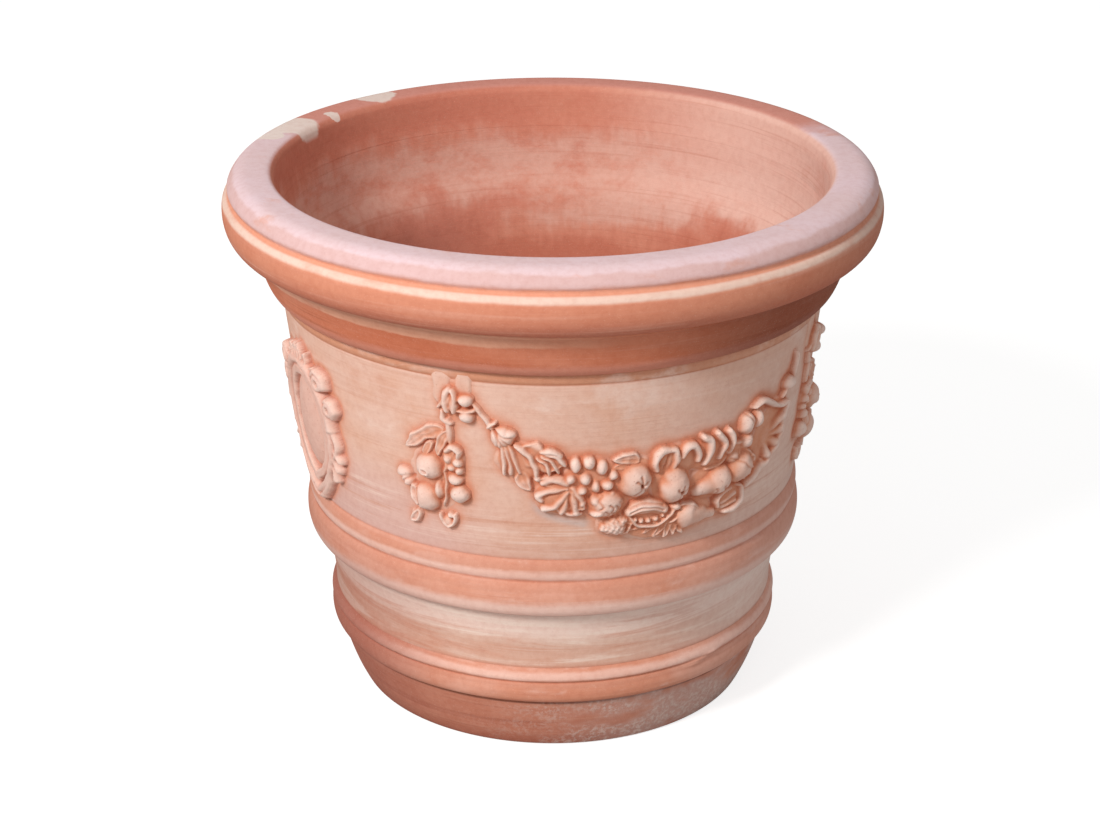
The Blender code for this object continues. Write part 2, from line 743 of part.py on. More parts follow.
def frame():
    """Cartouche frame: the border with scrolls on both sides, a crest and a pendant tip."""
    crest = lobed_leaf(5, 130.0, 0.0, 20.0, 0.78, 0.0, 55.0, 0.2)
    tip = roll(8.0, 8.5, (0.0, -56.0), (0.0, -66.0), (0.0, -76.0))
    return [border()] + scrolls() + [mirrored(bm) for bm in scrolls()] + [crest, tip]


def shield():
    """Plain domed shield in the middle of a cartouche."""
    width = CARTOUCHE_WIDTH - 2.0 * (BORDER_WIDTH + SHIELD_MARGIN)
    height = CARTOUCHE_HEIGHT - 2.0 * (BORDER_WIDTH + SHIELD_MARGIN)
    count = 12
    bm = bmesh.new()
    rings = []
    for scale, w in ((1.0, -SINK), (1.0, 0.4 * SHIELD_RELIEF), (0.55, SHIELD_RELIEF)):
        row = []
        for station in range(count):
            u, v = oval(width * scale, height * scale, math.tau * station / count)
            row.append(bm.verts.new((u, v, w)))
        rings.append(row)
    for low, high in zip(rings, rings[1:]):
        for index in range(count):
            after = (index + 1) % count
            bm.faces.new((low[index], low[after], high[after], high[index]))
    bm.faces.new(rings[0])
    bm.faces.new(rings[-1])
    bmesh.ops.recalc_face_normals(bm, faces=bm.faces)
    return [bm]


# Seating a sprig


def mirrored(bm):
    """A flat shape from a left-handed mould."""
    for vert in bm.verts:
        vert.co.x = -vert.co.x
    bmesh.ops.reverse_faces(bm, faces=bm.faces)
    return bm


def fitting_scale(shapes, height):
    """The scale at which a sprig stays on the plain stretch of the wall, one at most."""
    rises = [vert.co.y for bm in shapes for vert in bm.verts]
    below = (UPPER_FOOT + 3.0 * GAP - height) / min(rises)
    above = (UPPER_FILLET - height) / max(rises)
    return min(1.0, below, above)


def bend(bm, angle, height, scale, lift):
    """Bend a flat sprig round the upper wall, its middle at an angle and a height."""
    radius = upper_radius(height)
    for vert in bm.verts:
        u, v, w = vert.co * scale
        w += lift
        bearing = math.radians(angle) + u / radius
        reach = upper_radius(height + v) + w
        vert.co = (reach * math.sin(bearing), -reach * math.cos(bearing), height + v)
    bmesh.ops.triangulate(bm, faces=bm.faces)
    return bm


def solid_mesh(bm):
    """A temporary solid as a mesh."""
    mesh = bpy.data.meshes.new("solid")
    bm.to_mesh(mesh)
    bm.free()
    return mesh


def group_of(meshes):
    """A collection in the scene that holds temporary solids."""
    group = bpy.data.collections.new("solids")
    bpy.context.scene.collection.children.link(group)
    for mesh in meshes:
        obj = bpy.data.objects.new("solid", mesh)
        obj.hide_render = True
        obj.display_type = "WIRE"
        group.objects.link(obj)
    return group


def cut(body, operation, group):
    """Add an exact Boolean for each solid of a group."""
    for solid in group.objects:
        step = body.modifiers.new(operation, "BOOLEAN")
        step.operation = operation
        step.solver = "EXACT"
        step.object = solid


def clear_group(group):
    """Remove a group and its temporary solids."""
    for obj in list(group.objects):
        bpy.data.objects.remove(obj, do_unlink=True)
    bpy.data.collections.remove(group)


def bodies_of(bm):
    """The separate bodies of a mesh, as sets of vertices."""
    left = set(bm.verts)
    bodies = []
    while left:
        seed = left.pop()
        body = {seed}
        front = [seed]
        while front:
            for edge in front.pop().link_edges:
                fresh = left.intersection(edge.verts)
                left -= fresh
                body |= fresh
                front.extend(fresh)
        bodies.append(body)
    return bodies


def volume_of(body):
    """Volume inside the faces that a set of vertices carries."""
    total = 0.0
    for face in {face for vert in body for face in vert.link_faces}:
        corners = [vert.co for vert in face.verts]
        for second, third in zip(corners[1:], corners[2:]):
            total += corners[0].dot(second.cross(third)) / 6.0
    return total


def keep_main_body(bm):
    """Leave only the largest of the bodies that trimming has parted; give its share."""
    sizes = sorted(((volume_of(body), body) for body in bodies_of(bm)), key=lambda pair: pair[0])
    whole = sum(volume for volume, body in sizes)
    extra = [vert for volume, body in sizes[:-1] for vert in body]
    bmesh.ops.delete(bm, geom=extra, context="VERTS")
    return sizes[-1][0] / whole if sizes and whole > 0.0 else 0.0


def grown(mesh):
    """A copy of a laid shape, larger by the slip joint, to trim its neighbours with."""
    bm = bmesh.new()
    bm.from_mesh(mesh)
    bm.normal_update()
    offsets = [vert.co + vert.normal * TRIM_GROWTH for vert in bm.verts]
    for vert, position in zip(bm.verts, offsets):
        vert.co = position
    return solid_mesh(bm)


def wall_core():
    """The upper wall's outer surface plus the slip joint, as a cutter."""
    low = UPPER_FOOT - SINK
    high = COLLAR_FOOT + SINK
    depth = 2.0 * FRUIT_RADIUS
    outer_low = upper_radius(low) + GAP
    outer_high = upper_radius(high) + GAP
    profile = [(outer_low, low), (outer_high, high), (outer_high - depth, high), (outer_low - depth, low)]
    return spun(profile, SEGMENTS, True)


def box_of(meshes):
    """Corners of the bounding box of some meshes."""
    points = [vert.co for mesh in meshes for vert in mesh.vertices]
    return Vector(map(min, zip(*points))), Vector(map(max, zip(*points)))


def meets(one, other):
    """Whether two bounding boxes overlap."""
    return all(one[0][axis] < other[1][axis] and other[0][axis] < one[1][axis] for axis in range(3))


def pressed(solids, laid):
    """Join the shapes of a sprig and trim them to the wall and to the shapes laid before."""
    reach = box_of(solids)
    near = [mesh for mesh in laid if meets(reach, box_of([mesh]))]
    base = group_of(solids[:1])
    more = group_of(solids[1:])
    cutters = group_of([solid_mesh(wall_core())] + near)
    body = base.objects[0]
    cut(body, "UNION", more)
    cut(body, "DIFFERENCE", cutters)
    bpy.context.view_layer.update()
    bm = bmesh.new()
    bm.from_mesh(body.evaluated_get(bpy.context.evaluated_depsgraph_get()).data)
    for group in (base, more, cutters):
        clear_group(group)
    return bm


def proud(bm):
    """Whether a sprig lies wholly outside the faceted wall."""
    facet = math.cos(math.pi / SEGMENTS)
    return all(vert.co.xy.length > upper_radius(vert.co.z) * facet for vert in bm.verts)


def seat(name, shape, angle, height, material, laid):
    """Lay a sprig, nudged by a hair where its trimmed faces do not close into one body."""
    for nudge in range(NUDGES):
        turned = angle + nudge * NUDGE_ANGLE
        shapes = shape()
        scale = fitting_scale(shapes, height)
        solids = []
        for index, bm in enumerate(shapes):
            solids.append(solid_mesh(bend(bm, turned, height, scale, index * nudge * NUDGE_LIFT)))
        bm = pressed(solids, laid)
        bmesh.ops.remove_doubles(bm, verts=bm.verts, dist=MERGE_REACH)
        bmesh.ops.dissolve_degenerate(bm, edges=bm.edges, dist=MERGE_REACH)
        share = keep_main_body(bm)
        bmesh.ops.dissolve_limit(
            bm,
            angle_limit=math.radians(MERGE_ANGLE / (1 + nudge)),
            verts=bm.verts,
            edges=bm.edges,
        )
        bmesh.ops.triangulate(bm, faces=bm.faces, ngon_method="EAR_CLIP")
        loose = [edge for edge in bm.edges if not edge.link_faces]
        bmesh.ops.delete(bm, geom=loose, context="EDGES")
        closed = all(len(edge.link_faces) == 2 for edge in bm.edges)
        if closed and share > MAIN_SHARE and proud(bm):
            break
    add_object(name, bm, material)
    laid.extend(grown(mesh) for mesh in solids)


def build_wall():
    """Every turned stage and moulding."""
    earth = fired_clay("clay_heel", EARTH, 0.9)
    pale = fired_clay("clay_wall", PALE, 0.85)
    pink = fired_clay("clay_band", PINK, 0.85)
    stages = (
        ("floor_slab", floor_slab, earth),
        ("heel_wall", heel_wall, earth),
        ("lower_wall", lower_wall, pale),
        ("upper_wall", upper_wall, pale),
        ("collar", collar, fired_clay("clay_collar", ORANGE, 0.85)),
        ("rim_ring", rim_ring, fired_clay("clay_rim", BLOOM, 0.9)),
        ("low_band", low_band, pink),
        ("mid_band", mid_band, pink),
    )
    for name, profile, material in stages:
        add_object(name, spun(profile(), SEGMENTS, True), material)


def build_ornament():
    """Knots at the corners of the bays, drops, swags and cartouches."""
    relief = fired_clay("clay_relief", PALE, 0.85)
    laid = []
    corners = ("front_left", "front_right", "back_right", "back_left")
    for index, corner in enumerate(corners):
        angle = FRONT_BAY + BAY * (index - 0.5)
        seat("knot_" + corner, knot, angle, up_wall(KNOT_PART), relief, laid)
    for index, corner in enumerate(corners):
        angle = FRONT_BAY + BAY * (index - 0.5)
        if index % 2:
            seat("drop_" + corner, right_drop, angle + DROP_LEAN, up_wall(DROP_PART), relief, laid)
        else:
            seat("drop_" + corner, drop, angle - DROP_LEAN, up_wall(DROP_PART), relief, laid)
    for side, middle in (("front", FRONT_BAY), ("back", FRONT_BAY + 2.0 * BAY)):
        for name, shape, offset, part in SWAG:
            seat(side + "_swag_" + name, shape, middle + offset, up_wall(part), relief, laid)
    height = up_wall(CARTOUCHE_PART)
    for side, middle in (("right", FRONT_BAY + BAY), ("left", FRONT_BAY - BAY)):
        seat(side + "_cartouche_frame", frame, middle, height, relief, laid)
        seat(side + "_cartouche_shield", shield, middle, height, relief, laid)


clear_scene()
build_wall()
build_ornament()
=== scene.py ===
import math

import bpy
import numpy as np
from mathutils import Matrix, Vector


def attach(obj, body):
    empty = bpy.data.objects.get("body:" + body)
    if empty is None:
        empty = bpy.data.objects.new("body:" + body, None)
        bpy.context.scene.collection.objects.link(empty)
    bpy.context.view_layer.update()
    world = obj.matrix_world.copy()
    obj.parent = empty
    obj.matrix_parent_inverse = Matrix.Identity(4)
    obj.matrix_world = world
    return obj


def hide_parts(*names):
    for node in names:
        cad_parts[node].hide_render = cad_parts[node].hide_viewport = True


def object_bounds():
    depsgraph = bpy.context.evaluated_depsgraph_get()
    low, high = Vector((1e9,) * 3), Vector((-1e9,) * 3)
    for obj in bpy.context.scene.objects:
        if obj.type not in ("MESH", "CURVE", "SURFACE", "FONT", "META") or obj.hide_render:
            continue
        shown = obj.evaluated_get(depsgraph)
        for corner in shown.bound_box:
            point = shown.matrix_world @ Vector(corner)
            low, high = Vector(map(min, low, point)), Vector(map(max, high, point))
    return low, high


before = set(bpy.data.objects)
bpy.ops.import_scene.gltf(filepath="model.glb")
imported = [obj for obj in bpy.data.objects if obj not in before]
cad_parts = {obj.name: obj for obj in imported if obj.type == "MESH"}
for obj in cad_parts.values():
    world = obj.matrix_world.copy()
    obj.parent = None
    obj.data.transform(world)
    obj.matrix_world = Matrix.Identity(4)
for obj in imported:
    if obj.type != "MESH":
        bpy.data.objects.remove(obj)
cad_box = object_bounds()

MM = 0.001

# The pot in mm. The frame gives its size, and the visual model stays just inside that
RADIUS = round(cad_box[1][0] / MM, 1)
HEIGHT = round(cad_box[1][2] / MM, 1)
WIDEST, LOWEST, HIGHEST = RADIUS - 0.1, 0.25, HEIGHT - 0.1
COLUMNS = 720

# Profile from the foot over the rim, down the inside, through the drain hole and back under the
# floor. Each stage has the distance between its rows and its points, a radius and a height, and
# a new stage begins at each crease
PROFILE = {
    "heel": (3.0, (
        (183.6, 0.3), (185.6, 1.4), (187.0, 4.0), (192.9, 17.4), (199.2, 35.4), (205.0, 56.0),
    )),
    "low_band": (0.9, (
        (204.9, 56.5), (208.6, 57.6), (211.4, 61.5), (212.5, 67.5), (212.1, 73.0), (211.3, 76.8),
        (210.3, 78.2), (211.2, 79.4), (212.4, 81.0), (212.5, 83.6), (211.4, 86.4), (209.6, 89.4),
        (208.1, 92.0),
    )),
    "lower_wall": (3.0, (
        (208.0, 92.4), (208.4, 104.0), (209.8, 117.3), (212.6, 133.0), (216.4, 145.0), (219.6, 152.0),
    )),
    "mid_band": (1.1, (
        (219.6, 152.6), (225.5, 153.4), (229.9, 158.6), (232.1, 166.0), (232.5, 174.0), (231.6, 181.5),
        (229.8, 186.2), (228.1, 188.6), (228.9, 190.6), (229.8, 193.0), (230.2, 197.4), (229.9, 202.0),
        (228.9, 206.4), (227.5, 209.3),
    )),
    "upper_wall": (2.6, (
        (227.4, 209.8), (230.0, 231.0), (236.0, 281.0), (242.0, 331.0), (247.9, 380.6), (247.6, 381.9),
        (248.6, 383.0), (249.9, 386.5), (250.1, 390.2), (249.6, 392.0),
    )),
    "collar": (1.3, (
        (252.6, 392.6), (256.4, 394.2), (260.4, 398.6), (263.6, 405.0), (266.5, 413.0), (269.6, 421.0),
        (273.5, 429.5), (276.6, 433.6), (278.2, 434.4), (279.4, 436.0), (279.4, 437.6),
    )),
    "rim": (1.5, (
        (280.6, 438.2), (287.5, 440.0), (293.0, 444.2), (297.0, 450.5), (299.1, 458.5), (299.5, 465.5),
        (299.0, 471.0), (297.8, 474.6), (296.4, 476.4), (294.4, 477.6), (292.4, 479.4), (292.6, 481.8),
        (293.9, 484.0), (293.2, 488.0), (288.0, 494.8), (280.0, 498.4), (268.0, 498.8), (257.0, 498.0),
        (252.6, 494.0), (251.2, 488.0), (249.5, 470.0), (247.6, 458.2), (247.9, 457.0), (247.1, 455.8),
    )),
    "inside": (6.0, (
        (246.4, 444.0), (244.6, 430.0), (240.5, 414.0), (232.0, 399.0), (226.2, 384.0), (220.0, 345.0),
        (207.0, 235.0), (200.4, 190.0), (196.4, 150.0), (189.0, 110.0), (184.0, 84.0), (180.0, 62.0),
        (175.0, 40.0), (169.0, 30.5), (160.0, 28.3), (120.0, 28.0), (70.0, 28.0), (30.0, 28.0),
        (22.5, 27.6), (20.4, 25.5), (20.2, 15.0), (20.2, 3.0), (21.0, 0.9), (24.0, 0.3), (90.0, 0.3),
        (176.0, 0.3),
    )),
}
# How far the maker's hands let the surface and its creases wander, the height at which the
# creases run true again, the rows of the rim that still count as outside, and the share inside
SURFACE_WANDER, CREASE_WANDER = 0.45, 0.75
TRUE_RIM = 470.0
OUTER_RIM_ROWS = 40
INNER_WANDER = 0.35
# Heights over which the surface's wander fades away at the foot and at the top, and that of the
# creases at either end
FOOT_CALM, TOP_CALM, CREASE_CALM = 20.0, 12.0, 40.0
# Heights at which the inner wall is cut below the collar, between the walls and above the heel
INNER_CUTS = (388.0, 176.0, 66.0)
# Radius of the flat back of each band
BAND_BACKS = {"low": 203.0, "mid": 218.5}
# The lip's inner side begins here
MOUTH_RADIUS, MOUTH_TOP = 262.0, 498.2
# Distance over which creases and edges of the wall are told from its plain parts
CREASE_REACH = 2.2

# Smears and lumps of slip: angle, height, half width in degrees, half height and relief
DENTS = (
    (40.0, 78.0, 5.0, 1.6, 2.0), (43.0, 80.0, 2.4, 2.0, 1.6), (37.5, 75.0, 3.0, 2.4, 1.2),
    (-64.0, 487.0, 4.0, 5.0, -0.7), (-52.0, 478.0, 6.0, 2.2, 0.8), (-12.0, 70.0, 6.0, 5.0, 0.5),
    (12.0, 190.0, 4.0, 2.2, 0.7), (-33.0, 170.0, 7.0, 6.0, -0.5), (64.0, 190.0, 4.0, 3.0, 0.8),
    (150.0, 80.0, 5.0, 3.0, 1.0), (205.0, 168.0, 6.0, 6.0, -0.5), (240.0, 460.0, 5.0, 6.0, -0.6),
    (120.0, 470.0, 6.0, 5.0, -0.5), (-30.0, 430.0, 9.0, 3.0, 0.5), (20.0, 402.0, 7.0, 3.0, 0.5),
)

# The ornament is a height field on the wall, unrolled at one radius. The plain wall under it
# leans out from its foot
UNROLL = 238.0
STEP = 0.72
RELIEF_FOOT, RELIEF_TOP = 212.0, 387.0
WALL_FOOT_RADIUS, WALL_FOOT_HEIGHT, WALL_LEAN = 227.4, 209.4, 0.12
# Level that stands for no clay, and the fall of a form beyond its edge
NOTHING = -9.0
FALL = 2.2
# Relief too thin to show, and the depth at which a sprig's edge is tucked into the wall
THIN, SUNK = 0.06, -0.5
# Fillets between the forms of a sprig, of the cartouche's frame and of its shield, and those
# between two sprigs and between a sprig and the wall
SPRIG_FILLET, FRAME_FILLET, SHIELD_FILLET = 0.8, 1.6, 2.0
OVERLAP_FILLET, WALL_FILLET = 0.5, 1.3
# Room left round a round form, and round one with a line or a tip
ROUND_ROOM, LINE_ROOM = 5.0, 6.0

# Grey slip smeared along the swag's lower left edge, on the unrolled wall
SMEAR = ((-21, 273), (-14, 261), (-4, 254), (12, 249), (27, 245))
SMEAR_WIDTH = 3.4


# Forms that the sprigs are modelled with. On the unrolled wall u runs to the right and v upwards,
# both in mm from the sprig's centre. The functions named _form, and press for a groove, say what
# the numbers mean


def form(kind):
    """Function that writes one form of a kind as a plain tuple."""
    return lambda *numbers: (kind,) + numbers


dome, mound, ring = form("dome"), form("mound"), form("ring")
roll, strap, groove = form("roll"), form("strap"), form("groove")
taper, leaf = form("taper"), form("leaf")


def cracks(deep, heart, share, bend, ends):
    """Grooves that spread from a heart, each bent on its way by a small shift."""
    shift_u, shift_v = bend
    return [groove(1.0, deep, heart, (share * u + shift_u, share * v + shift_v), (u, v)) for u, v in ends]


def bellflower():
    """Stalk with a collar and a fluted bell."""
    return [
        roll(3.0, 5.0, (-23, 29), (-15, 17), (-8, 7)),
        roll(2.0, 6.5, (-12, 8), (-5, 14)),
        dome(0, 0, 11, 10, 10),
        dome(6, 3, 6, 6, 9),
        dome(-2, -5, 6, 6, 9),
    ] + cracks(1.8, (-6, 6), 0.4, (-1, 1), ((-4, -9), (0, -10), (6, -6), (9, 1)))


def leaf_spray():
    """Bundle of finger leaves with one ribbed leaf and one small drooping leaf."""
    shapes = [mound(-8, 4, 24, 19, 4.0)]
    for start, (u, v) in ((-25, (-23, -9)), (-22, (-17, -8)), (-19, (-10, -7))):
        shapes.append(roll(2.6, 7.0, (start, 20), (0.5 * (start + u) + 1, 6), (u, v)))
    shapes.append(roll(3.2, 8.5, (-13, 20), (-5, 14), (2, 3), (5, -11)))
    shapes.append(dome(5, -11, 4, 4, 8.5))
    shapes.append(leaf(-9, 18, -26, 40, 12, 7.0, 2))
    for start, end in (((5, 9), (15, -7)), ((9, 11), (22, -5)), ((12, 13), (28, 1))):
        middle = (0.5 * (start[0] + end[0]) + 2, 0.5 * (start[1] + end[1]) + 2)
        shapes.append(roll(2.5, 8.5, start, middle, end))
    shapes.append(roll(3.0, 8.5, (8, 15), (17, 15), (24, 11)))
    shapes.append(leaf(-10, -6, -66, 20, 7, 6.0))
    return shapes


def vine_leaf():
    """Broad leaf with bold curling folds that spread from its stalk."""
    return [
        mound(0, 0, 23, 20, 6.0),
        leaf(8, 8, 160, 26, 8, 8.0),
        leaf(8, 8, 250, 26, 8, 7.5),
        leaf(8, 8, 300, 26, 8, 7.5),
        roll(4.4, 9.0, (6, 13), (-6, 17), (-15, 14)),
        roll(4.2, 9.0, (5, 8), (-8, 6), (-18, 1), (-16, -4)),
        roll(4.4, 9.0, (6, 4), (1, -3), (-6, -10), (-14, -12)),
        roll(4.0, 8.0, (8, 3), (5, -7), (1, -16)),
        roll(3.8, 8.5, (10, 4), (12, -6), (14, -17)),
        roll(3.8, 8.5, (10, 8), (15, 2), (19, -7)),
        roll(2.4, 6.0, (4, -15), (10, -19), (18, -18)),
        dome(14, -17, 4, 4, 8.5),
        dome(19, -7, 4, 4, 8.5),
        groove(1.0, 1.8, (4, 7), (-8, 3), (-14, 1)),
        groove(1.0, 1.8, (8, 2), (8, -10)),
    ]


def grapes():
    """Berries lying on a low ground."""
    upper = ((-12, 12, 5, 8), (-1, 14, 6, 7), (10, 9, 6, 8))
    middle = ((-16, -1, 5, 5), (-4, -1, 6, 7), (20, 1, 5, 6))
    lower = ((5, -9, 5, 7), (15, -8, 6, 6), (-6, -12, 5, 5), (19, -17, 4, 4))
    berries = [dome(u, v, rx, ry, 6.5 + 0.7 * rx) for u, v, rx, ry in upper + middle + lower]
    return [mound(2, -1, 27, 20, 4.5)] + berries


def pomegranate():
    """Round split fruit with a ragged mouth on its lower right and a bulge at its left."""
    return [
        mound(0, 1, 21, 19, 5.0),
        dome(0, 0, 15, 14, 13.5),
        dome(-8, -8, 7, 5, 12.5),
        dome(-10, 4, 6, 7, 11.0),
        groove(0.9, 1.8, (-5, 10), (-7, 5), (-4, 0), (-7, -3)),
        groove(0.9, 2.2, (1, 1), (5, -3), (3, -7), (8, -9)),
        groove(0.9, 2.0, (7, 0), (10, -4), (8, -8), (4, -11)),
        groove(0.9, 1.8, (-2, -5), (2, -9), (-1, -12)),
        groove(0.8, 1.4, (10, 3), (13, -2), (12, -7)),
    ]


def cone():
    """Rough seed head with a curled husk at its right."""
    return [
        mound(1, 2, 18, 14, 4.0),
        dome(0, 0, 12, 10, 10.5),
        dome(-9, -1, 5, 5, 8.0),
        dome(6, 5, 6, 6, 9.5),
        roll(2.8, 6.5, (9, 6), (14, 0), (11, -8)),
    ]


def apple():
    """Apple with a cracked calyx and two leaves over its left shoulder."""
    return [
        mound(-2, 2, 22, 23, 5.0),
        leaf(4, 20, 176, 24, 6, 7.5),
        leaf(0, 14, 178, 19, 4, 6.0),
        dome(0, 0, 15, 17, 15.0),
    ] + cracks(2.2, (4, -4), 0.5, (3, -2), ((3, 6), (-1, -13), (10, -14), (9, 0), (-1, 2)))


def pear():
    """Short round pear with a cracked calyx."""
    return [
        mound(-2, 2, 21, 24, 5.0),
        dome(0, -1, 15.5, 17, 15.5),
        dome(-1, 7, 12, 12, 13.0),
    ] + cracks(2.1, (5, -6), 0.5, (2, -3), ((0, -1), (11, -4), (3, -13), (10, -12), (6, 1)))


def quince():
    """Quince lying with its neck to the left."""
    return [
        mound(-6, 0, 26, 19, 5.0),
        taper((-20, -4, 8, 10.0), (0, 0, 14, 14.5)),
        dome(0, 0, 15, 15, 15.5),
        groove(1.0, 2.0, (2, -4), (5, -8), (9, -7)),
        groove(1.0, 1.8, (-6, -5), (-3, -8), (-4, -11)),
    ]


def peach():
    """Peach with its furrow, a ragged right edge and a leaf along its top."""
    torn_edge = ((13, 8), (16, 2), (16, -5), (12, -10), (6, -13))
    return [
        mound(0, 1, 22, 19, 5.0),
        leaf(5, 16, 164, 30, 7, 7.5, 2),
        dome(-1, 0, 17, 15, 14.0),
        dome(-11, 13, 8, 7, 9.0),
        groove(1.0, 1.4, (-15, 13), (-4, 8), (9, -4)),
    ] + [dome(u, v, 3, 3, 7.5) for u, v in torn_edge]


def lemon():
    """Lemon tapering to its right, half under a small leaf."""
    return [
        mound(4, 1, 24, 16, 4.5),
        taper((-2, 1, 14, 12.5), (25, -5, 5, 6.5)),
        leaf(-12, 12, -14, 20, 6, 11.0),
    ]


def pod():
    """Open pod with its ribbed lid, its peas and its rolled lip."""
    shapes = [mound(-1, -2, 24, 15, 4.0), roll(8.0, 10.5, (-21, 5), (-12, 8), (-1, 8), (10, 3))]
    for drop in (0, 4, 8):
        shapes.append(groove(1.0, 2.0, (-21, 9 - drop), (-8, 13 - drop), (9, 8 - drop)))
    for u, v, size in ((-16, -3, 2.4), (-11, -5, 3.2), (-4, -6, 3.4), (3, -5, 3.2), (9, -3, 2.4)):
        shapes.append(dome(u, v, size, size, 8.5))
    shapes.append(roll(2.2, 8.0, (-22, 0), (-14, -9), (-2, -12), (9, -10), (16, -4), (22, 2)))
    shapes.append(dome(22, 3, 5, 4, 9.5))
    return shapes


def leaf_fan():
    """Seven narrow leaves hanging from one stalk."""
    shapes = [mound(-4, 3, 34, 14, 3.6)]
    for turn, length in ((194, 40), (206, 34), (226, 29), (248, 25), (270, 23), (292, 25), (314, 25)):
        shapes.append(leaf(13, 13, turn, length, 4.2, 6.5))
    shapes.append(roll(2.0, 5.0, (-38, 0), (-30, 3), (-23, 4)))
    shapes.append(roll(2.0, 8.0, (8, 5), (14, 9), (19, 13)))
    return shapes


def bud():
    """Open flower seen from the side, with a thick rim and a lumpy heart."""
    return [
        mound(-2, 2, 18, 17, 6.0),
        roll(3.0, 8.0, (-15, -3), (-17, 5), (-12, 11), (-2, 13)),
        roll(4.6, 10.5, (10, 9), (11, 1), (4, -7), (-8, -9)),
        taper((-12, 1, 3.0, 7.0), (1, 7, 4.0, 8.6)),
        taper((-11, -3, 3.0, 7.0), (3, -1, 4.0, 8.6)),
        roll(2.0, 8.0, (4, 15), (12, 10)),
    ]


def curled_leaves():
    """Row of hollow leaves with curled tips along the top of the swag."""
    return [
        mound(-22, 0, 30, 17, 4.5),
        mound(14, -1, 30, 18, 4.5),
        dome(-31, 4, 11, 10, 6.2),
        roll(4.2, 9.0, (-41, -5), (-43, 4), (-38, 12), (-30, 13)),
        roll(4.2, 9.0, (-26, -5), (-23, 3), (-25, 11), (-30, 13)),
        groove(1.1, 2.2, (-33, -7), (-33, 1), (-31, 8)),
        roll(4.4, 9.5, (-18, 4), (-14, 12), (-7, 12), (-2, 4), (-2, -3)),
        roll(4.8, 10.0, (5, -7), (10, 4), (9, 13), (3, 18)),
        roll(4.4, 9.5, (20, -6), (25, 5), (22, 13), (17, 18)),
        roll(3.6, 9.0, (32, -3), (35, 7), (30, 18)),
        roll(2.4, 6.0, (8, -15), (20, -14), (30, -8)),
    ]


def tall_leaf():
    """Large folded leaf climbing to the right with buds on its inner side."""
    ends = ((25, 14), (22, 2), (17, -9), (7, -18))
    folds = [taper((0.35 * u, 0.35 * v, 4.0, 6.0), (u, v, 6.0, 10.5)) for u, v in ends]
    return [
        strap(16.0, 3.5, (-8, -20), (1, -4), (6, 10), (16, 18)),
        roll(4.8, 9.5, (33, 24), (26, 16), (24, 7), (26, -1), (21, -8), (20, -15), (12, -19)),
        roll(4.6, 9.5, (13, -19), (7, -26), (-2, -27), (-8, -34), (-19, -40)),
        roll(3.4, 9.0, (32, 25), (16, 27), (4, 34), (-8, 40), (-17, 36)),
        dome(8, -2, 15, 17, 6.0),
        *folds,
        dome(-24, 22, 9, 11, 10.0),
        groove(1.0, 2.0, (-29, 34), (-21, 24), (-19, 13)),
        dome(-11, 23, 6, 10, 9.5),
        dome(-23, 5, 8, 8, 9.5),
        leaf(-31, 0, -38, 28, 6, 8.5),
        roll(2.4, 7.0, (0, -21), (7, -28), (1, -31)),
    ]


def end_bud():
    """Last bud of the swag with its stalk."""
    return [
        dome(-3, 0, 9, 7, 9.5),
        roll(2.2, 6.5, (3, 4), (5, 15), (6, 26)),
        roll(2.4, 6.5, (-7, -4), (-12, -12)),
    ]


def knot():
    """Tied ribbon: two straps from the collar, two loops and a tail."""
    return [
        strap(7.5, 1.5, (-10, 22), (-10, 3)),
        strap(6.5, 1.5, (10, 24), (9, 6)),
        roll(3.8, 8.0, (-2, 13), (-6, 4), (-5, -8)),
        roll(3.4, 8.5, (1, 12), (3, 2), (1, -8)),
        dome(-1, 1, 5, 10, 7.5),
        roll(2.0, 5.0, (-14, -7), (-10, -3), (-8, 4)),
        dome(12, 4, 7, 6, 10.0),
        groove(1.2, 2.6, (6, 1), (12, -3), (19, 1)),
        dome(12, -12, 7, 6, 8.5),
        roll(2.4, 6.5, (4, -7), (11, -7), (18, -5)),
        roll(3.0, 5.5, (-10, -10), (-9, -18), (-2, -20)),
        roll(3.4, 5.0, (-5, -18), (-5, -30), (-4, -40)),
        groove(0.9, 1.6, (-1, 9), (-1, 3), (-2, -3)),
    ]


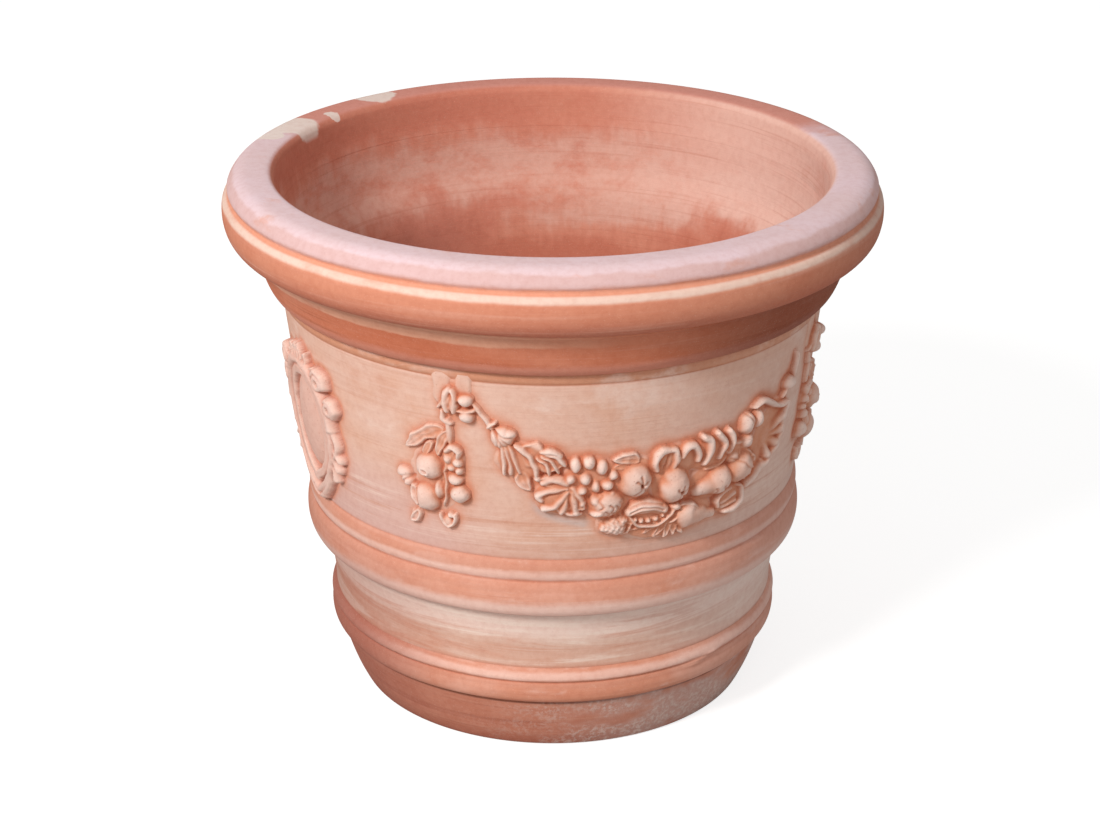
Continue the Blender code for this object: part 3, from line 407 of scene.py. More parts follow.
def drop():
    """Hanging bunch: leaves at the top, apple, split fruit, buds and two looped tips."""
    return [
        mound(-10, -4, 24, 32, 2.4),
        leaf(3, 48, 214, 46, 7, 5.5, 2),
        leaf(8, 47, 246, 30, 5, 7.0),
        leaf(-9, 32, 240, 16, 4, 6.0),
        dome(-13, 8, 13, 13, 13.0),
        ring(-14, 5, 3.2, 1.1, 13.6),
        groove(0.8, 1.2, (-16, 6), (-12, 4), (-16, 0), (-19, 3)),
        leaf(3, 18, 62, 18, 4, 7.0),
        mound(9, 18, 11, 15, 5.0),
        roll(3.0, 8.5, (4, 26), (10, 31), (16, 27), (15, 21)),
        dome(6, 19, 5, 6, 8.5),
        dome(14, 16, 5, 5, 8.5),
        dome(8, 11, 5, 4, 8.0),
        dome(15, 8, 4, 4, 7.5),
        roll(2.0, 5.5, (3, 16), (3, 9), (1, 4)),
        dome(-40, -4, 8, 6, 7.5),
        dome(-36, -11, 7, 6, 8.5),
        groove(0.9, 2.4, (-41, -16), (-38, -11), (-29, -5)),
        dome(-18, -24, 13, 14, 12.5),
        leaf(-29, -12, 282, 20, 4, 13.0),
        groove(0.9, 1.8, (-25, -16), (-25, -24), (-23, -31)),
        dome(-5, -14, 5, 9, 8.5),
        groove(0.8, 1.2, (-2, -5), (-3, -12), (-3, -20)),
        roll(1.9, 5.5, (2, 4), (2, -13), (-1, -29)),
        dome(11, -1, 7, 6, 9.0),
        dome(14, -15, 9, 9, 11.0),
        dome(4, -38, 4, 3, 6.5),
        roll(2.0, 6.0, (-6, -38), (-4, -45), (1, -51)),
        roll(2.2, 6.0, (8, -37), (7, -45), (1, -51)),
        dome(1, -45, 5, 6, 4.8),
        mound(-32, -46, 6, 7, 4.0),
        roll(1.8, 5.5, (-29, -39), (-35, -46), (-37, -51)),
        roll(1.8, 5.5, (-28, -40), (-27, -45), (-31, -50), (-37, -52)),
    ]


def cartouche_frame():
    """Strapwork frame, the same on both sides of its middle, under a fan of leaves."""
    half = [
        roll(6.0, 9.5, (-2, 60), (20, 54), (37, 34), (45, 6), (41, -26)),
        roll(5.5, 9.0, (42, -22), (27, -49), (10, -64), (-2, -70)),
        strap(5.0, 7.0, (-2, 50), (16, 45), (30, 28), (36, 4), (32, -24), (18, -44), (-2, -56)),
        roll(4.0, 9.5, (26, 51), (33, 60), (43, 59), (46, 50), (40, 45)),
        ring(38, 51, 5.0, 3.0, 10.5),
        roll(4.0, 9.5, (43, 35), (52, 37), (57, 30), (53, 22)),
        ring(50, 29, 4.5, 3.0, 10.0),
        taper((46, 22, 4.5, 9.5), (47, 8, 5.5, 10.5)),
        roll(3.6, 8.5, (47, 8), (53, -4), (50, -16), (44, -24)),
        leaf(1, 52, 84, 26, 5, 10.0),
        leaf(4, 52, 58, 25, 5, 9.5),
        leaf(8, 50, 32, 24, 4, 9.0),
        roll(4.0, 8.5, (33, -45), (24, -58), (12, -70), (2, -76)),
    ]
    for u, v in ((55, -20), (51, -32), (44, -43)):
        half.append(taper((41, v + 12, 4.0, 7.0), (u, v, 4.4, 9.0)))
    return half + [mirrored(shape) for shape in half]


def cartouche_shield():
    """Plain swelling shield."""
    return [mound(0, 2, 33, 47, 5.0), dome(0, 0, 30, 44, 8.0)]


def mirrored(shape):
    """The same form on the other side of the middle line."""
    kind, *rest = shape
    if kind in ("roll", "strap", "groove"):
        wide, tall, *points = rest
        return (kind, wide, tall, *((-u, v) for u, v in points))
    if kind == "taper":
        return (kind, *((-end[0],) + end[1:] for end in rest))
    if kind == "leaf":
        u, v, turn, *size = rest
        return (kind, -u, v, 180.0 - turn, *size)
    return (kind, -rest[0], *rest[1:])


# Places on one half of the pot, in degrees from the front and mm above the ground

KNOT_LEFT, KNOT_RIGHT, KNOT_HEIGHT = -20.0, 70.0, 360
DROP_LEFT, DROP_RIGHT, DROP_HEIGHT = -23.0, 73.0, 286
CARTOUCHE, CARTOUCHE_HEIGHT = -65.0, 288
BAY = 25.0
# Sprigs of the swag, with their degrees from the middle of the bay and their heights. Where
# some of them overlap, the highest is on top
SWAG = (
    (curled_leaves, 6.3, 299), (tall_leaf, 24.6, 294), (end_bud, 33.4, 337), (leaf_fan, -1.5, 234),
    (vine_leaf, -23.6, 276), (leaf_spray, -29.3, 305), (bellflower, -35.1, 332), (grapes, -17.6, 294),
    (cone, -12.0, 243), (pod, -3.8, 251), (lemon, 5.1, 242), (bud, 16.3, 244),
    (pomegranate, -13.9, 267), (peach, 18.0, 275), (quince, 11.7, 270), (pear, 0.7, 276),
    (apple, -8.1, 287),
)


# Shape of the wall


def curve(points, pitch):
    """Points laid about evenly along a Catmull-Rom curve through some points."""
    given = np.array(points, float)
    ends = np.vstack([2 * given[0] - given[1], given, 2 * given[-1] - given[-2]])
    out = []
    for index in range(len(given) - 1):
        a, b, c, d = ends[index : index + 4]
        slope = c - a
        turn = 2 * a - 5 * b + 4 * c - d
        twist = 3 * b - a - 3 * c + d
        count = max(1, math.ceil(np.linalg.norm((c - b)[:2]) / pitch))
        for step in range(count):
            t = step / count
            out.append(0.5 * (2 * b + slope * t + turn * t**2 + twist * t**3))
    out.append(given[-1])
    return np.array(out)


def sway(phi, z, seed, reach, turns=(2, 3, 5, 7, 11)):
    """Smooth uneven motion of a hand that closes all the way round, with phases from its seed."""
    total = 0.0
    for index, turn in enumerate(turns):
        phase = math.sin(seed * 12.9 + index * 78.2) * 43758.5
        total = total + np.sin(turn * phi + phase + z / (31.0 + 17.0 * index)) / (index + 1.6)
    return reach * total / 1.6


def wall_rows():
    """The whole profile as rows of (radius, height), with the rows of each stage."""
    rows = []
    spans = {}
    for name, (pitch, points) in PROFILE.items():
        first = len(rows)
        rows.extend(curve(points, pitch))
        spans[name] = (first, len(rows) - 1)
    return np.array(rows), spans


def fade(value):
    """A value held between zero and one."""
    return np.clip(value, 0.0, 1.0)


def handmade(phi, z):
    """Shift of the outer surface and of its creases by the maker's hands."""
    calm = fade(z / FOOT_CALM) * fade((HEIGHT - z) / TOP_CALM)
    out = sway(phi, z * 0.25, 1.7, SURFACE_WANDER) * calm
    rise = sway(phi, z * 0.1, 4.1, CREASE_WANDER, (1, 3, 4, 6, 9))
    return out, rise * fade(z / CREASE_CALM) * fade((TRUE_RIM - z) / CREASE_CALM)


def dents(phi, z):
    """Small smears and lumps of slip on the mouldings and the rim."""
    total = np.zeros(np.broadcast(phi, z).shape)
    for angle, height, wide, tall, rise in DENTS:
        turn = (np.degrees(phi) - angle + 180.0) % 360.0 - 180.0
        total = total + rise * np.exp(-((turn / wide) ** 2) - ((z - height) / tall) ** 2)
    return total


def on_pot(r, phi, z):
    """Points in metres at some radii, angles from the front and heights in mm."""
    return np.stack([r * np.sin(phi), -r * np.cos(phi), z], axis=-1) * MM


def wall_grid():
    """Positions and normals of the whole wall, one row per profile point."""
    rows, spans = wall_rows()
    phi = np.linspace(0.0, 2.0 * math.pi, COLUMNS, endpoint=False)[None, :]
    r = rows[:, 0:1] + 0.0 * phi
    z = rows[:, 1:2] + 0.0 * phi
    outer = np.arange(len(rows))[:, None] <= spans["rim"][0] + OUTER_RIM_ROWS
    out, rise = handmade(phi, z)
    r = r + (out + dents(phi, z)) * np.where(outer, 1.0, INNER_WANDER) * fade(z / 6.0)
    z = z + np.where(outer, rise, 0.0)
    r = np.minimum(r, WIDEST)
    z = np.clip(z, LOWEST, HIGHEST)
    at = on_pot(r, phi, z)
    around = np.roll(at, -1, axis=1) - np.roll(at, 1, axis=1)
    normal = np.cross(around, np.gradient(at, axis=0))
    normal /= np.maximum(np.linalg.norm(normal, axis=-1, keepdims=True), 1e-12)
    return at, normal, spans, phi, r, z


def new_piece(name, verts, quads, normals, values, material):
    """A mesh object from arrays, with its own normals and surface values."""
    mesh = bpy.data.meshes.new(name)
    mesh.vertices.add(len(verts))
    mesh.vertices.foreach_set("co", verts.astype(np.float32).ravel())
    mesh.loops.add(4 * len(quads))
    mesh.loops.foreach_set("vertex_index", quads.astype(np.int32).ravel())
    mesh.polygons.add(len(quads))
    mesh.polygons.foreach_set("loop_start", np.arange(0, 4 * len(quads), 4, dtype=np.int32))
    mesh.update(calc_edges=True)
    mesh.validate()
    mesh.shade_smooth()
    for key, value in values.items():
        layer = mesh.attributes.new(key, "FLOAT", "POINT")
        layer.data.foreach_set("value", value.astype(np.float32).ravel())
    mesh.normals_split_custom_set_from_vertices([tuple(n) for n in normals])
    obj = bpy.data.objects.new(name, mesh)
    mesh.materials.append(material)
    bpy.context.scene.collection.objects.link(obj)
    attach(obj, "root")
    return obj


def ring_piece(name, at, normal, bands, values, material):
    """A closed ring of the wall made of one band of rows, or of an outer and an inner one."""
    rows = np.concatenate([np.arange(first, last + 1) for first, last in bands])
    near = np.arange(COLUMNS)
    far = (near + 1) % COLUMNS
    quads = []
    for row in range(len(rows)):
        low = row * COLUMNS
        high = ((row + 1) % len(rows)) * COLUMNS
        quads.append(np.stack([low + near, low + far, high + far, high + near], axis=-1))
    points, normals = at[rows].reshape(-1, 3), normal[rows].reshape(-1, 3)
    picked = {key: value[rows] for key, value in values.items()}
    return new_piece(name, points, np.concatenate(quads), normals, picked, material)


# Relief on the unrolled wall

HIGH = np.arange(RELIEF_FOOT, RELIEF_TOP, STEP)
WIDE = np.arange(-0.5 * math.pi * UNROLL, 0.5 * math.pi * UNROLL, STEP)
ACROSS, UP = np.meshgrid(WIDE, HIGH)
# The same places, a little off, so that no pressed edge is quite true
LEAN_U = ACROSS + 0.35 * np.sin(UP / 2.7 + np.sin(ACROSS / 5.1) * 2.0)
LEAN_U = LEAN_U + 0.25 * np.sin(ACROSS / 1.9 + UP / 3.3)
LEAN_V = UP + 0.35 * np.sin(ACROSS / 2.9 + np.sin(UP / 4.7) * 2.0)
LEAN_V = LEAN_V + 0.25 * np.sin(UP / 2.1 - ACROSS / 3.7)


def smooth_max(a, b, fillet):
    """The higher of two levels, filleted where they are nearly the same."""
    return np.maximum(a, b) + np.maximum(fillet - np.abs(a - b), 0.0) ** 2 / (4.0 * fillet)


def nearest(points, x, y):
    """Distance to a curved line, with the length run to the nearest point and in all."""
    line = curve(points, 2.0)
    best = np.full(x.shape, 1e9)
    run = np.zeros(x.shape)
    gone = 0.0
    for a, b in zip(line, line[1:]):
        step = b - a
        length = max(float(np.hypot(*step)), 1e-6)
        t = np.clip(((x - a[0]) * step[0] + (y - a[1]) * step[1]) / length**2, 0.0, 1.0)
        d = np.hypot(x - a[0] - t * step[0], y - a[1] - t * step[1])
        closer = d < best
        best = np.where(closer, d, best)
        run = np.where(closer, gone + t * length, run)
        gone += length
    return best, run, gone


def dome_form(x, y, u, v, rx, ry, tall):
    """Half ellipsoid."""
    q = 1.0 - ((x - u) / rx) ** 2 - ((y - v) / ry) ** 2
    return np.where(q > 0.0, tall * np.sqrt(np.maximum(q, 0.0)), q * min(rx, ry))


def mound_form(x, y, u, v, rx, ry, tall):
    """Low swelling ground with a soft edge."""
    q = 1.0 - ((x - u) / rx) ** 2 - ((y - v) / ry) ** 2
    return np.where(q > 0.0, tall * (1.0 - (1.0 - np.maximum(q, 0.0)) ** 2), q * min(rx, ry))


def ring_form(x, y, u, v, radius, wide, tall):
    """Round ring with a hollow middle."""
    d = np.abs(np.hypot(x - u, y - v) - radius) / wide
    return np.where(d < 1.0, tall - wide + wide * np.sqrt(np.maximum(1.0 - d**2, 0.0)), NOTHING)


def roll_form(x, y, wide, tall, *points):
    """Rolled strip of clay through some points, thinner at both ends."""
    d, run, whole = nearest(points, x, y)
    end = fade(np.minimum(run, whole - run) / (2.0 * wide))
    here = wide * (0.74 + 0.26 * np.sqrt(end))
    t = d / here
    body = tall * np.sqrt(np.maximum(1.0 - t**2, 0.0)) * (0.88 + 0.12 * end)
    return np.where(t < 1.0, body, FALL * (here - d))


def taper_form(x, y, start, end):
    """Round body from one end to the other, each end with its place, radius and relief."""
    (u, v, thin, low), (end_u, end_v, thick, high) = start, end
    step_u, step_v = end_u - u, end_v - v
    length = math.hypot(step_u, step_v)
    t = fade(((x - u) * step_u + (y - v) * step_v) / length**2)
    radius = thin + (thick - thin) * t
    d = np.hypot(x - u - t * step_u, y - v - t * step_v) / radius
    body = (low + (high - low) * t) * np.sqrt(np.maximum(1.0 - d**2, 0.0))
    return np.where(d < 1.0, body, FALL * radius * (1.0 - d))


def strap_form(x, y, wide, tall, *points):
    """Flat band with square edges through some points."""
    d = nearest(points, x, y)[0]
    body = tall * (1.0 - np.minimum(d / wide, 1.0) ** 8)
    return np.where(d < wide, body, FALL * (wide - d))


def leaf_form(x, y, u, v, turn, length, width, tall, lobes=0):
    """Hollow leaf with raised edges, a midrib and side veins, rising to its tip."""
    cos, sin = math.cos(math.radians(turn)), math.sin(math.radians(turn))
    along = (x - u) * cos + (y - v) * sin
    across = (y - v) * cos - (x - u) * sin + 0.06 * length * np.sin(math.pi * along / length)
    t = fade(along / length)
    half = width * np.sin(math.pi * t**0.8) ** 0.6
    if lobes:
        half = half * (1.0 + 0.20 * np.cos(2.0 * math.pi * (lobes * t + 0.5)))
    half = np.maximum(half, 0.5)
    s = np.abs(across) / half
    body = 0.60 + 0.40 * np.minimum(1.0, (s / 0.70) ** 2) + 0.16 * np.exp(-((s / 0.20) ** 2))
    body = body + 0.05 * np.cos(length * 0.6 * (t - 0.35 * s * width / length))
    body = tall * (0.74 + 0.26 * t) * body * np.sqrt(np.sqrt(np.maximum(1.0 - s**4, 0.0)))
    beyond = np.maximum(np.maximum(along - length, -along), 0.0)
    aside = np.maximum(np.abs(across) - half, 0.0)
    return np.where((s < 1.0) & (beyond <= 0.0), body, -FALL * np.hypot(beyond, aside))


FORMS = {
    "dome": dome_form, "mound": mound_form, "ring": ring_form, "roll": roll_form,
    "strap": strap_form, "leaf": leaf_form, "taper": taper_form,
}


def reach_of(kind, *numbers):
    """Lowest and highest u and v that a form may fill, with some room round it."""
    if kind in ("dome", "mound"):
        points = (numbers,)
        far = np.array(numbers[2:4]) + ROUND_ROOM
    elif kind == "ring":
        points = (numbers,)
        far = numbers[2] + numbers[3] + ROUND_ROOM
    elif kind == "leaf":
        u, v, turn, length, width = numbers[:5]
        tip = (u + length * math.cos(math.radians(turn)), v + length * math.sin(math.radians(turn)))
        points = ((u, v), tip)
        far = 1.3 * width + LINE_ROOM
    elif kind == "taper":
        points = numbers
        far = max(numbers[0][2], numbers[1][2]) + LINE_ROOM
    else:
        points = numbers[2:]
        far = numbers[0] + LINE_ROOM
    places = np.array([point[:2] for point in points])
    return places.min(axis=0) - far, places.max(axis=0) + far


def press(shapes, angle, height, fillet=SPRIG_FILLET):
    """Relief of a whole sprig on the unrolled wall, with fillets between its forms."""
    layer = np.full(ACROSS.shape, NOTHING)
    centre = math.radians(angle) * UNROLL
    for kind, *numbers in shapes:
        low, high = reach_of(kind, *numbers)
        columns = np.nonzero((WIDE - centre > low[0]) & (WIDE - centre < high[0]))[0]
        rows = np.nonzero((HIGH - height > low[1]) & (HIGH - height < high[1]))[0]
        if not len(columns) or not len(rows):
            continue
        area = (slice(rows[0], rows[-1] + 1), slice(columns[0], columns[-1] + 1))
        x = LEAN_U[area] - centre
        y = LEAN_V[area] - height
        if kind == "groove":
            wide, deep, *points = numbers
            cut = deep * np.exp(-((nearest(points, x, y)[0] / wide) ** 2))
            layer[area] = np.where(layer[area] > 0.3, layer[area] - cut, layer[area])
        else:
            body = np.maximum(FORMS[kind](x, y, *numbers), NOTHING)
            layer[area] = smooth_max(layer[area], body, fillet)
    return layer


def blur(field, *reaches):
    """Mean over a square window, once for each reach in steps of the grid."""
    for reach in reaches:
        side = 2 * reach + 1
        # Each pass runs along the rows' axis and turns the field over for the next one
        for axis in ("rows", "columns"):
            padded = np.pad(field, ((reach + 1, reach), (0, 0)), mode="edge")
            total = np.cumsum(padded, axis=0)
            field = ((total[side:] - total[:-side]) / side).T
    return field


def cone_scales(layer):
    """Uneven seeds and pits on the seed head."""
    bent_u = ACROSS + 1.1 * np.sin(UP / 2.3) + 0.6 * np.sin(UP / 1.1 + 2.0)
    bent_v = UP + 1.2 * np.sin(ACROSS / 2.9) + 0.6 * np.sin(ACROSS / 1.3)
    pits = np.sin((bent_u + 0.5 * bent_v) / 0.95) * np.sin((bent_v - 0.4 * bent_u) / 1.05)
    return np.where(layer > 1.5, layer + 1.0 * pits - 0.4, layer)


def relief_map():
    """Relief of one half of the wall with the sprig that is on top at each point."""
    turned = [mirrored(shape) for shape in drop()]
    layers = {
        "cartouche_shield": press(cartouche_shield(), CARTOUCHE, CARTOUCHE_HEIGHT, SHIELD_FILLET),
        "cartouche_frame": press(cartouche_frame(), CARTOUCHE, CARTOUCHE_HEIGHT, FRAME_FILLET),
        "drop_left": press(drop(), DROP_LEFT, DROP_HEIGHT),
        "drop_right": press(turned, DROP_RIGHT, DROP_HEIGHT),
    }
    for sprig, turn, height in SWAG:
        layers[sprig.__name__] = press(sprig(), BAY + turn, height)
    layers["cone"] = cone_scales(layers["cone"])
    layers["knot_left"] = press(knot(), KNOT_LEFT, KNOT_HEIGHT)
    layers["knot_right"] = press(knot(), KNOT_RIGHT, KNOT_HEIGHT)
    height = np.full(ACROSS.shape, NOTHING)
    label = np.zeros(ACROSS.shape, int)
    for index, layer in enumerate(layers.values()):
        label = np.where(layer > height, index, label)
        height = smooth_max(height, layer, OVERLAP_FILLET)
    height = smooth_max(height, np.zeros(height.shape), WALL_FILLET)
    height = 0.4 * height + 0.6 * blur(height, 1)
    return height, label, list(layers)


def relief_values(height):
    """Marks for the colours: hollows for painted shade, edges, valleys, crowns, ground bared of slip and
    smeared slip.
    """
    soft = blur(height, 2, 2)
    off, run, whole = nearest(SMEAR, ACROSS, UP)
    return {
        "hollow": fade((soft - height) * 0.9),
        "proud": fade((height - soft) * 0.8),
        "valley": fade((blur(height, 5, 5) - height) / 2.6),
        "crown": fade((height - blur(height, 9, 9)) / 3.6),
        "halo": fade(blur(height, 8, 8, 6) / 2.2),
        "smear": np.exp(-((off / SMEAR_WIDTH) ** 2)) * fade(4.0 * run / whole),
        "rise": height,
    }


def sample(field, phi, z):
    """Value of a relief field at points of the wall, the same on both halves."""
    turn = (phi + 0.5 * math.pi) % math.pi - 0.5 * math.pi
    column = np.clip((turn * UNROLL - WIDE[0]) / STEP, 0.0, len(WIDE) - 1.001)
    row = np.clip((z - HIGH[0]) / STEP, 0.0, len(HIGH) - 1.001)
    c = column.astype(int)
    r = row.astype(int)
    right = column - c
    upper = row - r
    low = field[r, c] * (1 - right) + field[r, c + 1] * right
    high = field[r + 1, c] * (1 - right) + field[r + 1, c + 1] * right
    return np.where((z < HIGH[0]) | (z > HIGH[-1]), 0.0, low * (1 - upper) + high * upper)


def relief_points(height, half):
    """Positions of the relief on one half of the wall."""
    phi = ACROSS / UNROLL + math.pi * half
    out, rise = handmade(phi, UP)
    base = WALL_FOOT_RADIUS + WALL_LEAN * (UP - WALL_FOOT_HEIGHT) + out + dents(phi, UP)
    return on_pot(base + height, phi, UP + rise)


def owners(height, label):
    """The sprig that each cell of the grid belongs to, that of its highest corner."""
    rows, columns = height.shape[0] - 1, height.shape[1] - 1
    owner = label[:-1, :-1]
    peak = height[:-1, :-1]
    for down, right in ((1, 0), (0, 1), (1, 1)):
        corner = (slice(down, down + rows), slice(right, right + columns))
        owner = np.where(height[corner] > peak, label[corner], owner)
        peak = np.maximum(height[corner], peak)
    return np.where(peak > THIN, owner, -1)


def relief_pieces(height, label, names, values, material):
    """Every sprig of both halves as its own piece."""
    owner = owners(height, label)
    width = height.shape[1]
    for half, side in enumerate(("front", "back")):
        at = relief_points(np.where(height < THIN, SUNK, height), half).reshape(-1, 3)
        smooth = relief_points(height, half)
        normal = np.cross(np.gradient(smooth, axis=1), np.gradient(smooth, axis=0))
        normal = (normal / np.linalg.norm(normal, axis=-1, keepdims=True)).reshape(-1, 3)
        for index, name in enumerate(names):
            rows, columns = np.nonzero(owner == index)
            if not len(rows):
                continue
            corner = rows * width + columns
            quads = np.stack([corner, corner + 1, corner + width + 1, corner + width], axis=-1)
            used, quads = np.unique(quads, return_inverse=True)
            quads = quads.reshape(-1, 4)
            node = node_of(name, side)
            picked = {key: value.reshape(-1)[used] for key, value in values.items()}
            piece = new_piece("relief_" + node, at[used], quads, normal[used], picked, material)
            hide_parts(node)


def node_of(name, side):
    """Name of the CAD node that a sprig on one half stands for."""
    kind, end = name[:5], name[5:]
    if name.startswith("cartouche"):
        return ("left_" if side == "front" else "right_") + name
    if kind in ("knot_", "drop_"):
        seen = {"left": "front_left", "right": "front_right"}
        behind = {"left": "back_right", "right": "back_left"}
        return kind + (seen if side == "front" else behind)[end]
    return side + "_swag_" + name


# Fired clay. Noise scales are features to a metre and levels are heights in metres on the pot


def tone(tint):
    """A colour written as three eight-bit values, in linear light."""
    parts = [value / 255.0 for value in tint]
    linear = [part / 12.92 if part <= 0.04045 else ((part + 0.055) / 1.055) ** 2.4 for part in parts]
    return (*linear, 1.0)


class Nodes:
    """A node tree that is built node by node."""

    def __init__(self, owner):
        """The tree of a material or a world."""
        owner.use_nodes = True
        self.tree = owner.node_tree

    def add(self, kind, inputs=(), **settings):
        """New node of a kind with its settings, and values or links for its inputs."""
        node = self.tree.nodes.new("ShaderNode" + kind)
        for key, value in settings.items():
            setattr(node, key, value)
        self.plug(node, inputs)
        return node

    def plug(self, node, inputs):
        """Give a node's inputs their values or links."""
        for key, value in dict(inputs).items():
            if isinstance(value, bpy.types.NodeSocket):
                self.tree.links.new(value, node.inputs[key])
            else:
                node.inputs[key].default_value = value


class Clay(Nodes):
    """One procedural clay material, with the colour that is painted so far."""

    def __init__(self, name, clouds, pale, warm, full=0.7):
        """Clouds of two tints, with their features across and up, warp and seed."""
        self.material = bpy.data.materials.new(name)
        super().__init__(self.material)
        self.shader = self.tree.nodes["Principled BSDF"]
        self.where = self.add("TexCoord").outputs["Object"]
        self.x, self.y, self.z = self.add("SeparateXYZ", {0: self.where}).outputs
        across, up, warp, seed = clouds
        self.cloud = self.noise(across, up, 4.0, 0.6, warp, seed)
        self.bumps = []
        self.colour = self.mix(self.step(self.cloud, 0.35, full), tone(pale), tone(warm))

    def noise(self, across, up, detail=3.0, rough=0.6, warp=0.0, seed=0.0):
        """Noise with so many features to a metre across and up."""
        shift = (seed, 1.7 * seed, 0.6 * seed)
        laid = {"Vector": self.where, "Location": shift, "Scale": (across, across, up)}
        inputs = {"Scale": 1.0, "Detail": detail, "Roughness": rough, "Distortion": warp}
        inputs["Vector"] = self.add("Mapping", laid).outputs[0]
        return self.add("TexNoise", inputs).outputs["Fac"]

    def step(self, value, low, high, most=1.0):
        """Smooth step of a value from low to high, up to a share."""
        inputs = {"Value": value, "From Min": low, "From Max": high, "To Max": most}
        return self.add("MapRange", inputs, interpolation_type="SMOOTHSTEP").outputs["Result"]

    def between(self, value, low, high, soft, most=1.0):
        """One between two levels, with soft edges outside them."""
        return self.times(self.step(value, low - soft, low, most), self.step(value, high + soft, high))

    def calc(self, operation, a, b):
        """Result of one sum of two values."""
        return self.add("Math", {0: a, 1: b}, operation=operation).outputs[0]

    def times(self, *values):
        """Product of some values."""
        out = values[0]
        for value in values[1:]:
            out = self.calc("MULTIPLY", out, value)
        return out

    def waver(self, value, noise, reach):
        """A value pushed up and down by a noise."""
        return self.calc("ADD", value, self.times(self.calc("SUBTRACT", noise, 0.5), reach))

    def spot(self, place, radius, noise, reach):
        """One inside a ragged patch round a place, zero outside it."""
        far = self.add("VectorMath", {0: self.where, 1: place}, operation="DISTANCE").outputs["Value"]
        return self.step(self.waver(far, noise, reach), radius, radius * 0.86)

    def mark(self, name):
        """A value that the mesh carries at its points."""
        return self.add("Attribute", attribute_name=name).outputs["Fac"]

    def mix(self, share, under, over, blend="MIX"):
        """Two colours mixed by a share."""
        return self.add("Mix", {0: share, 6: under, 7: over}, data_type="RGBA", blend_type=blend).outputs[2]

    def mask(self, *parts):
        """Product of some values, where (value, low, high, most) stands for a smooth step."""
        return self.times(*(self.step(*part) if isinstance(part, tuple) else part for part in parts))

    def coat(self, tint, *parts, blend="MIX"):
        """Paint a tint over the colour so far, as far as the parts of its mask go."""
        self.colour = self.mix(self.mask(*parts), self.colour, tone(tint), blend)

    def finish(self, *bumps, depth=0.0006):
        """Grain, specks and bump that every clay surface has."""
        grain = self.noise(900.0, 900.0, 2.0, seed=3.1)
        mottle = self.noise(160.0, 160.0, seed=7.7)
        self.coat((150, 84, 60), (grain, 0.62, 0.74, 0.14))
        self.coat((240, 218, 204), (grain, 0.38, 0.28, 0.20))
        self.coat((206, 146, 120), (mottle, 0.35, 0.75, 0.14), blend="MULTIPLY")
        rough = self.calc("ADD", self.step(mottle, 0.2, 0.8, 0.16), 0.76)
        height = self.calc("ADD", self.times(grain, 0.35), self.times(mottle, 0.4))
        for value, share in self.bumps + list(bumps):
            height = self.calc("ADD", height, self.times(value, share))
        bump = self.add("Bump", {"Strength": 0.8, "Distance": depth, "Height": height}).outputs[0]
        inputs = {"Base Color": self.colour, "Roughness": rough, "Specular IOR Level": 0.22, "Normal": bump}
        self.plug(self.shader, inputs)
        return self.material

    def streaks(self, dark, pale, share, fine_bump=0.4, broad_bump=0.6):
        """Marks of the wet hand and the rib, running round the pot."""
        fine = self.noise(7.0, 520.0, rough=0.55, seed=5.0)
        broad = self.noise(3.0, 120.0, 4.0, warp=0.2, seed=9.0)
        patch = self.noise(7.0, 12.0, 2.0, 0.5, seed=12.0)
        self.coat(dark, (fine, 0.56, 0.68, share), (patch, 0.4, 0.65))
        self.coat(pale, (broad, 0.55, 0.72, share))
        self.coat(dark, (broad, 0.44, 0.30, share))
        self.bumps += [(fine, fine_bump), (broad, broad_bump)]

    def wiped(self):
        """Orange clay where slip was rubbed off round the relief, orange that is partly painted shade in
        the valleys, and painted shade in the hollows.
        """
        patch = self.noise(30.0, 30.0, seed=14.0)
        self.coat((218, 146, 114), self.mark("halo"), (patch, 0.2, 0.6, 0.75), (self.x, -0.24, -0.12))
        # Orange in the valleys: partly clay bared of slip, partly painted shade
        self.coat((212, 132, 98), self.mark("valley"), 0.8)
        # Painted shade: darker clay in the hollows, where shade falls
        self.coat((190, 108, 76), self.mark("hollow"), 0.8)

    def damp(self, most=0.5):
        """Browner clay low down on the left."""
        self.coat((166, 100, 84), (self.x, -0.07, -0.19), (self.z, 0.215, 0.10, most))

    def inside(self):
        """Colours of the inner wall over those of the outer one."""
        outer = self.colour
        blotch = self.noise(9.0, 14.0, 4.0, warp=0.4, seed=21.0)
        brush = self.noise(60.0, 7.0, seed=25.0)
        cloudy = self.noise(24.0, 40.0, 5.0, 0.65, seed=29.0)
        lines = self.noise(5.0, 300.0, seed=33.0)
        edge = self.waver(self.waver(self.z, blotch, 0.10), brush, 0.05)
        self.colour = self.mix(self.step(blotch, 0.35, 0.7), tone((210, 134, 112)), tone((218, 148, 124)))
        band = self.mask((edge, 0.366, 0.396), (edge, 0.462, 0.432))
        self.coat((226, 182, 166), band, (cloudy, 0.25, 0.6, 0.75))
        self.coat((198, 120, 96), (edge, 0.372, 0.345, 0.75))
        # Painted shade: the left of the inner wall greyer and darker
        self.coat((188, 136, 124), (self.x, -0.02, -0.16), (edge, 0.40, 0.34, 0.45))
        # Paler blotches on the right of the inner wall: partly bloom, partly painted light
        self.coat((236, 196, 182), (self.x, 0.02, 0.20), (blotch, 0.2, 0.5, 0.8), (edge, 0.375, 0.405))
        # Painted shade: darker clay high on the left of the inner wall, under the lip
        self.coat((200, 118, 96), (edge, 0.455, 0.47), (self.x, 0.1, -0.1, 0.5))
        self.coat((190, 112, 88), (lines, 0.55, 0.7, 0.25))
        self.colour = self.mix(self.mark("inner"), outer, self.colour)


